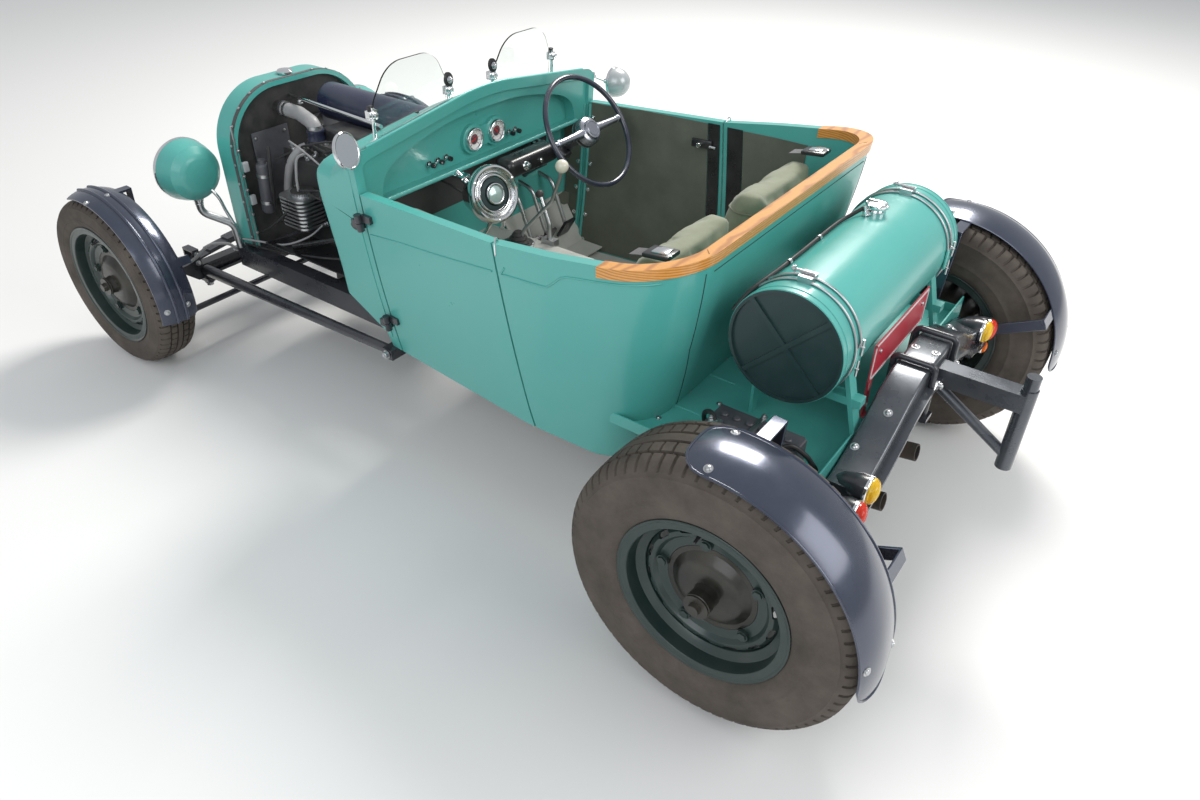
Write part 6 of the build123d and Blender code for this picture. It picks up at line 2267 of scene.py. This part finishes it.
@dataclass
class TankTrim(Assembly):
    """The fuel tank's strap bolts, pipe, cap and seams."""

    x: float = 66.0
    z: float = 752.0
    radius: float = 136.0
    half: float = 372.0
    strap_y: float = 300.0
    clip_y: Pair = (200, 40)
    # the pipe's bends: the angle ahead of the top, the lift and Y
    bends: tuple[Point, ...] = (
        (72, 7, 360), (52, 7, 330), (40, 6.5, 240), (38, 6.5, 120), (38, 6.5, 0), (36, 6.5, -70), (26, 9, -104),
        (16, 18, -122))

    def round(self, angle: float, lift: float, y: float) -> Vector:
        """A point round the tank.

        Args:
            angle: How far ahead of the top the point is, in degrees.
            lift: How far it stands off.
            y: Its place across the car.

        Returns:
            The point.
        """
        turn = math.radians(angle)
        reach = self.radius + lift
        return Vector((self.x + math.sin(turn) * reach, y, self.z + math.cos(turn) * reach))

    def pipe(self) -> None:
        """The black pipe that lies along the tank's front top to its filler."""
        clip = ((5.2, -5), (7, -5), (7, 5), (5.2, 5))
        clips = [lathe(clip, 16).face(self.round(38, 6.5, y), LEFT) for y in self.clip_y]
        feet = [self.round(43, 1.4, y) for y in self.clip_y]
        tabs = [block((12, 10, 3), 1.0).face(foot, foot - Vector((self.x, foot.y, self.z))) for foot in feet]
        pipe = hose([self.round(*bend) for bend in self.bends], 5.0, 10)
        self.piece("tank_pipe", Slot.PLASTIC, {"hose": pipe, "steel": (*clips, *tabs)}, 50.0)

    def cap(self) -> None:
        """The filler's bright cap with its grips, and the breather beside it."""
        cap = lathe(((0, 20), (20, 20), (25, 22), (27, 28), (26, 33), (18, 36), (0, 37)), 32)
        grips = [block((7, 9, 9), 2.0).move(26, 0, 28).spin(angle, "Z") for angle in range(0, 360, 60)]
        bar = block((46, 9, 6), 2.0).move(0, 0, 38)
        crown = self.z + self.radius
        filler = joined((cap, *grips, bar)).move(84, -130, crown - 8)
        union = joined((nut(9, 9), lathe(((0, 0), (6, 0), (6, 22), (0, 23)), 16)))
        union.face(self.round(14, 2, -108), (0.3, 0, 1))
        self.piece("tank_cap", Slot.CHROME, {"chrome": filler.add(union)})

    def straps(self) -> None:
        """The straps' tension bolts and end brackets."""
        bright = []
        green = []
        for side in Side:
            y = side.value * self.strap_y
            place = self.round(4, 14, y)
            bright.append(tube([place + Vector((shift, 0, 4)) for shift in (-26, 26)], 3.2, 10))
            bright.append(nut(6.5, 6).face(place + Vector((20, 0, 4)), AHEAD))
            for angle in (-82, -104):
                spot = self.round(angle, 6, y - 2)
                bright.append(nut(6, 7).face(spot, spot - Vector((self.x, y, self.z))))
                bright.append(tube([spot + Vector((-6, 0, rise)) for rise in (20, -20)], 3.0, 10))
            spot = self.round(-93, 4, y - side.value * 4)
            green.append(block((6, 34, 52), 2.0).move(*spot))
        self.piece("strap_bolts", Slot.STEEL, {"steel": bright, "green": green})

    def seams(self) -> None:
        """The rolled seams where the tank's ends are let in."""
        rings = [ring(self.radius + 0.2, 1.6, 80, 8).face((self.x, side.value * (self.half - inset), self.z), LEFT)
                 for side in Side for inset in (3.0, 22.0)]
        self.piece("tank_seams", Slot.GREEN, {"green": rings}, 60.0)

    def build(self) -> None:
        """Builds the tank's pieces."""
        self.pipe()
        self.cap()
        self.straps()
        self.seams()


@dataclass
class Rear(Assembly):
    """The battery's top, the blank plate's border, the lamps' lenses and the beam's bolts."""

    battery_x: Pair = (-32.0, 188.0)
    battery_y: Pair = (395.0, 508.0)
    battery_top: float = 562.0
    plate_x: float = -80.0
    plate_y: Pair = (-166.0, 192.0)
    plate_z: Pair = (622.0, 722.0)
    lamp_face: float = -194.0
    # X and Y of the bolts on the rear crossmember
    beam_bolts: tuple[Pair, ...] = ((-170, 0), (-120, 0), (-150, 230), (-150, -230), (-120, 330), (-120, -330))
    # finish, Y, Z and radius
    lamps: tuple[tuple[str, float, float, float], ...] = (
        ("amber_lens", 415.0, 510.0, 32.0), ("red_lens", 478.0, 486.0, 32.0), ("orange_lens", 472.0, 431.0, 19.0))

    def battery(self) -> None:
        """The battery's lid, caps, terminals, clamp bar and cables."""
        x = sum(self.battery_x) / 2
        y = sum(self.battery_y) / 2
        top = self.battery_top
        lid = block((214, 107, 8), 2.5).move(x, y, top + 1)
        caps = [lathe(((0, 0), (9, 0), (9, 5), (7, 7), (0, 7)), 18).move(x - 80 + 32 * step, y - 18, top + 4)
                for step in range(6)]
        posts = []
        for post_x in (self.battery_x[0] + 30, self.battery_x[1] - 30):
            posts.append(block((30, 24, 14), 3.0).move(post_x, self.battery_y[1] - 30, top + 9))
            posts.append(nut(6, 7).move(post_x + 12, self.battery_y[1] - 30, top + 14))
        bar = block((14, 128, 4), 1.0).move(x, y, top + 7)
        edge = self.battery_y[0] - 3.2
        rod = tube(((x, edge, top + 12), (x, edge, 480)), 3.0, 8)
        nuts = [nut(6, 6).move(x, y_edge - 2, top + 8) for y_edge in self.battery_y]
        cables = [hose(run, 6.0, 10) for run in (
            ((158, 478, top + 10), (180, 460, top + 18), (206, 440, top - 6), (216, 420, 520), (222, 400, 492)),
            ((-2, 478, top + 10), (-24, 462, top + 18), (-50, 440, top - 10), (-62, 420, 520), (-66, 400, 492)))]
        self.piece("battery_top", Slot.PLASTIC,
                   {"slate": (lid, *caps), "steel": (*posts, bar, rod, *nuts), "hose": cables})

    def plate(self) -> None:
        """The blank number plate's pale border and its bolts."""
        low, high = self.plate_y
        foot, top = self.plate_z
        middle, height = (low + high) / 2, (foot + top) / 2
        face = self.plate_x - 0.8
        bars = [block((1.2, high - low - 6, 5)).move(face, middle, z) for z in (foot + 5.5, top - 5.5)]
        bars += [block((1.2, 5, top - foot - 6)).move(face, y, height) for y in (low + 5.5, high - 5.5)]
        bolts = [bolt(4.5, 3.5).face((face, y, height + 18), BACK) for y in (low + 40, high - 40)]
        self.piece("plate_border", Slot.PLATE, {"plate_white": bars, "steel": bolts})

    def lens(self, radius: float) -> Shape:
        """A ribbed lens about Z.

        Args:
            radius: The radius of the lamp.

        Returns:
            The shape.
        """
        depth = radius * 0.72
        outline = [(radius - 1.2, 0.0), (radius - 1.2, depth * 0.35)]
        for step in range(9):
            turn = math.radians(90 * step / 8)
            reach = (radius - 2.4) * math.cos(turn)
            outline.append((max(reach, 0.0), depth * 0.4 + depth * 0.6 * math.sin(turn)))
            if 0 < step < 8:
                outline.append((max(reach - 1.4, 0.0), depth * 0.4 + depth * 0.6 * math.sin(turn) - 0.9))
        return lathe(outline, 40)

    def tail_lamps(self) -> None:
        """The lamps' lenses and bright rims, in place of the plain ones."""
        shapes: dict[str, list[Shape]] = {"amber_lens": [], "red_lens": [], "orange_lens": [], "chrome": []}
        for side in Side:
            for finish, y, z, radius in self.lamps:
                place = (self.lamp_face, side.value * y, z)
                shapes[finish].append(self.lens(radius).face(place, BACK))
                rim = lathe(((radius + 0.3, -5), (radius + 1.6, -4), (radius + 1.8, 2), (radius, 4),
                             (radius - 1.2, 3)), 40)
                shapes["chrome"].append(rim.face(place, BACK))
        lenses = self.piece("tail_lamp_glasses", Slot.LENS, shapes)
        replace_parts(lenses, "tail_lamp_lenses")

    def beam(self) -> None:
        """The bolts on the rear crossmember and the nuts on its rear face."""
        skin = self.skin("rear_crossmember")
        heads = [skin.seat(bolt(7, 5), (x, y, 900), DOWN) for x, y in self.beam_bolts]
        heads += [skin.seat(nut(9, 8), (-600, y, 594), AHEAD) for y in (-60, 60)]
        self.piece("beam_bolts", Slot.STEEL, {"steel": heads})

    def deck(self) -> None:
        """The deck's bolts and the pressed ribs across it."""
        bolts = [bolt(5, 4).move(x, y, 485) for x in (240, 330) for y in (-440, -300, -110, 110, 300, 440)]
        bolts += [bolt(5, 4).move(x, -440, 485) for x in (-40, 60, 150)]
        ribs = [tube(((250, y, 484.4), (400, y, 484.4)), 3.2, 8) for y in (-370, -200, 200, 370)]
        self.piece("deck_bolts", Slot.GREEN, {"steel": bolts, "green": ribs})

    def build(self) -> None:
        """Builds the rear's pieces."""
        self.battery()
        self.plate()
        self.tail_lamps()
        self.beam()
        self.deck()


# The studio


@dataclass
class Studio:
    """The camera, the floor and the lights."""

    eye: Point = (-0.5517 - MID_X, 1.9251, 1.7722)
    yaw: float = -54.5292
    pitch: float = -35.7015
    roll: float = 0.8726
    lens: float = 26.375
    sensor: float = 36.0
    floor_colour: Colour = (0.8, 0.8, 0.79)
    floor_rough: float = 0.85
    floor_size: float = 30.0
    sky: tuple[float, float, float, float] = (0.93, 0.96, 1.0, 1.0)
    sky_strength: float = 0.55
    # name, place, aim, size in metres, power in watts and colour
    lamps: tuple[tuple[str, Point, Point, float, float, Colour], ...] = (
        ("key", (0.6, -4.2, 5.2), (0.0, 0.0, 0.5), 2.4, 420.0, (1.0, 0.97, 0.92)),
        ("fill", (-1.5, 5.0, 3.6), (0.0, 0.0, 0.5), 4.0, 120.0, (0.93, 0.97, 1.0)),
        ("rear", (-5.0, -0.5, 3.4), (-0.6, 0.0, 0.6), 3.0, 110.0, (1.0, 0.98, 0.96)))

    def camera(self) -> None:
        """Places the camera where the picture was taken from."""
        yaw, pitch, roll = (math.radians(value) for value in (self.yaw, self.pitch, self.roll))
        ahead = Vector((math.cos(pitch) * math.cos(yaw), math.cos(pitch) * math.sin(yaw), math.sin(pitch)))
        right = ahead.cross(Vector((0, 0, 1))).normalized()
        up = right.cross(ahead)
        level = math.cos(roll) * right + math.sin(roll) * up
        top = -math.sin(roll) * right + math.cos(roll) * up
        data = bpy.data.cameras.new("camera")
        data.lens = self.lens
        data.sensor_width = self.sensor
        data.clip_end = 100.0
        camera = bpy.data.objects.new("camera", data)
        turn = Matrix((level, top, -ahead)).transposed().to_4x4()
        camera.matrix_world = Matrix.Translation(self.eye) @ turn
        bpy.context.scene.collection.objects.link(camera)
        bpy.context.scene.camera = camera

    def floor(self) -> None:
        """A plain pale floor."""
        mesh = bpy.data.meshes.new("floor")
        made = bmesh.new()
        bmesh.ops.create_grid(made, x_segments=1, y_segments=1, size=self.floor_size)
        made.to_mesh(mesh)
        made.free()
        floor = bpy.data.objects.new("floor_plane", mesh)
        bpy.context.scene.collection.objects.link(floor)
        board = Board("floor_white")
        board.shade(Base_Color=self.floor_colour, Roughness=self.floor_rough)
        mesh.materials.append(board.material)

    def lamp(self, name: str, place: Point, aim: Point, size: float, power: float, colour: Colour) -> None:
        """One square area lamp.

        Args:
            name: The light's name.
            place: Where it stands.
            aim: What it points at.
            size: The length of its sides.
            power: Its power in watts.
            colour: Its colour.
        """
        data = bpy.data.lights.new(name, "AREA")
        data.shape = "SQUARE"
        data.size = size
        data.energy = power
        data.color = colour
        lamp = bpy.data.objects.new(name, data)
        lamp.location = place
        lamp.rotation_euler = (Vector(aim) - Vector(place)).to_track_quat("-Z", "Y").to_euler()
        bpy.context.scene.collection.objects.link(lamp)

    def light(self) -> None:
        """A pale world with one large key and two fills."""
        world = bpy.data.worlds.new("studio")
        world.use_nodes = True
        back = world.node_tree.nodes["Background"]
        back.inputs[0].default_value = self.sky
        back.inputs[1].default_value = self.sky_strength
        bpy.context.scene.world = world
        for lamp in self.lamps:
            self.lamp(*lamp)
        bpy.context.scene.view_settings.view_transform = "Standard"

    def build(self) -> None:
        """Builds the studio."""
        self.camera()
        self.floor()
        self.light()


def main() -> None:
    """Loads the frame, dresses it and adds each sub-assembly in turn."""
    logging.basicConfig(level=logging.INFO, format="%(name)s: %(message)s")
    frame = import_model()
    finishes = Finishes()
    Studio().build()
    dress_nodes(frame["nodes"], finishes)
    LOG.info("dressed %d nodes", len(frame["nodes"]))
    for kind in (RearGuards, Tyres, WheelTrim, CowlSides, BodyTrim, Cabin, Dash, SteeringWheel, Screens, Mirrors,
                 EngineBay, FrontEnd, TankTrim, Rear):
        LOG.info("building %s", kind.__name__)
        kind(frame["nodes"], finishes).build()
    bpy.context.view_layer.update()


if __name__ == "__main__":
    main()
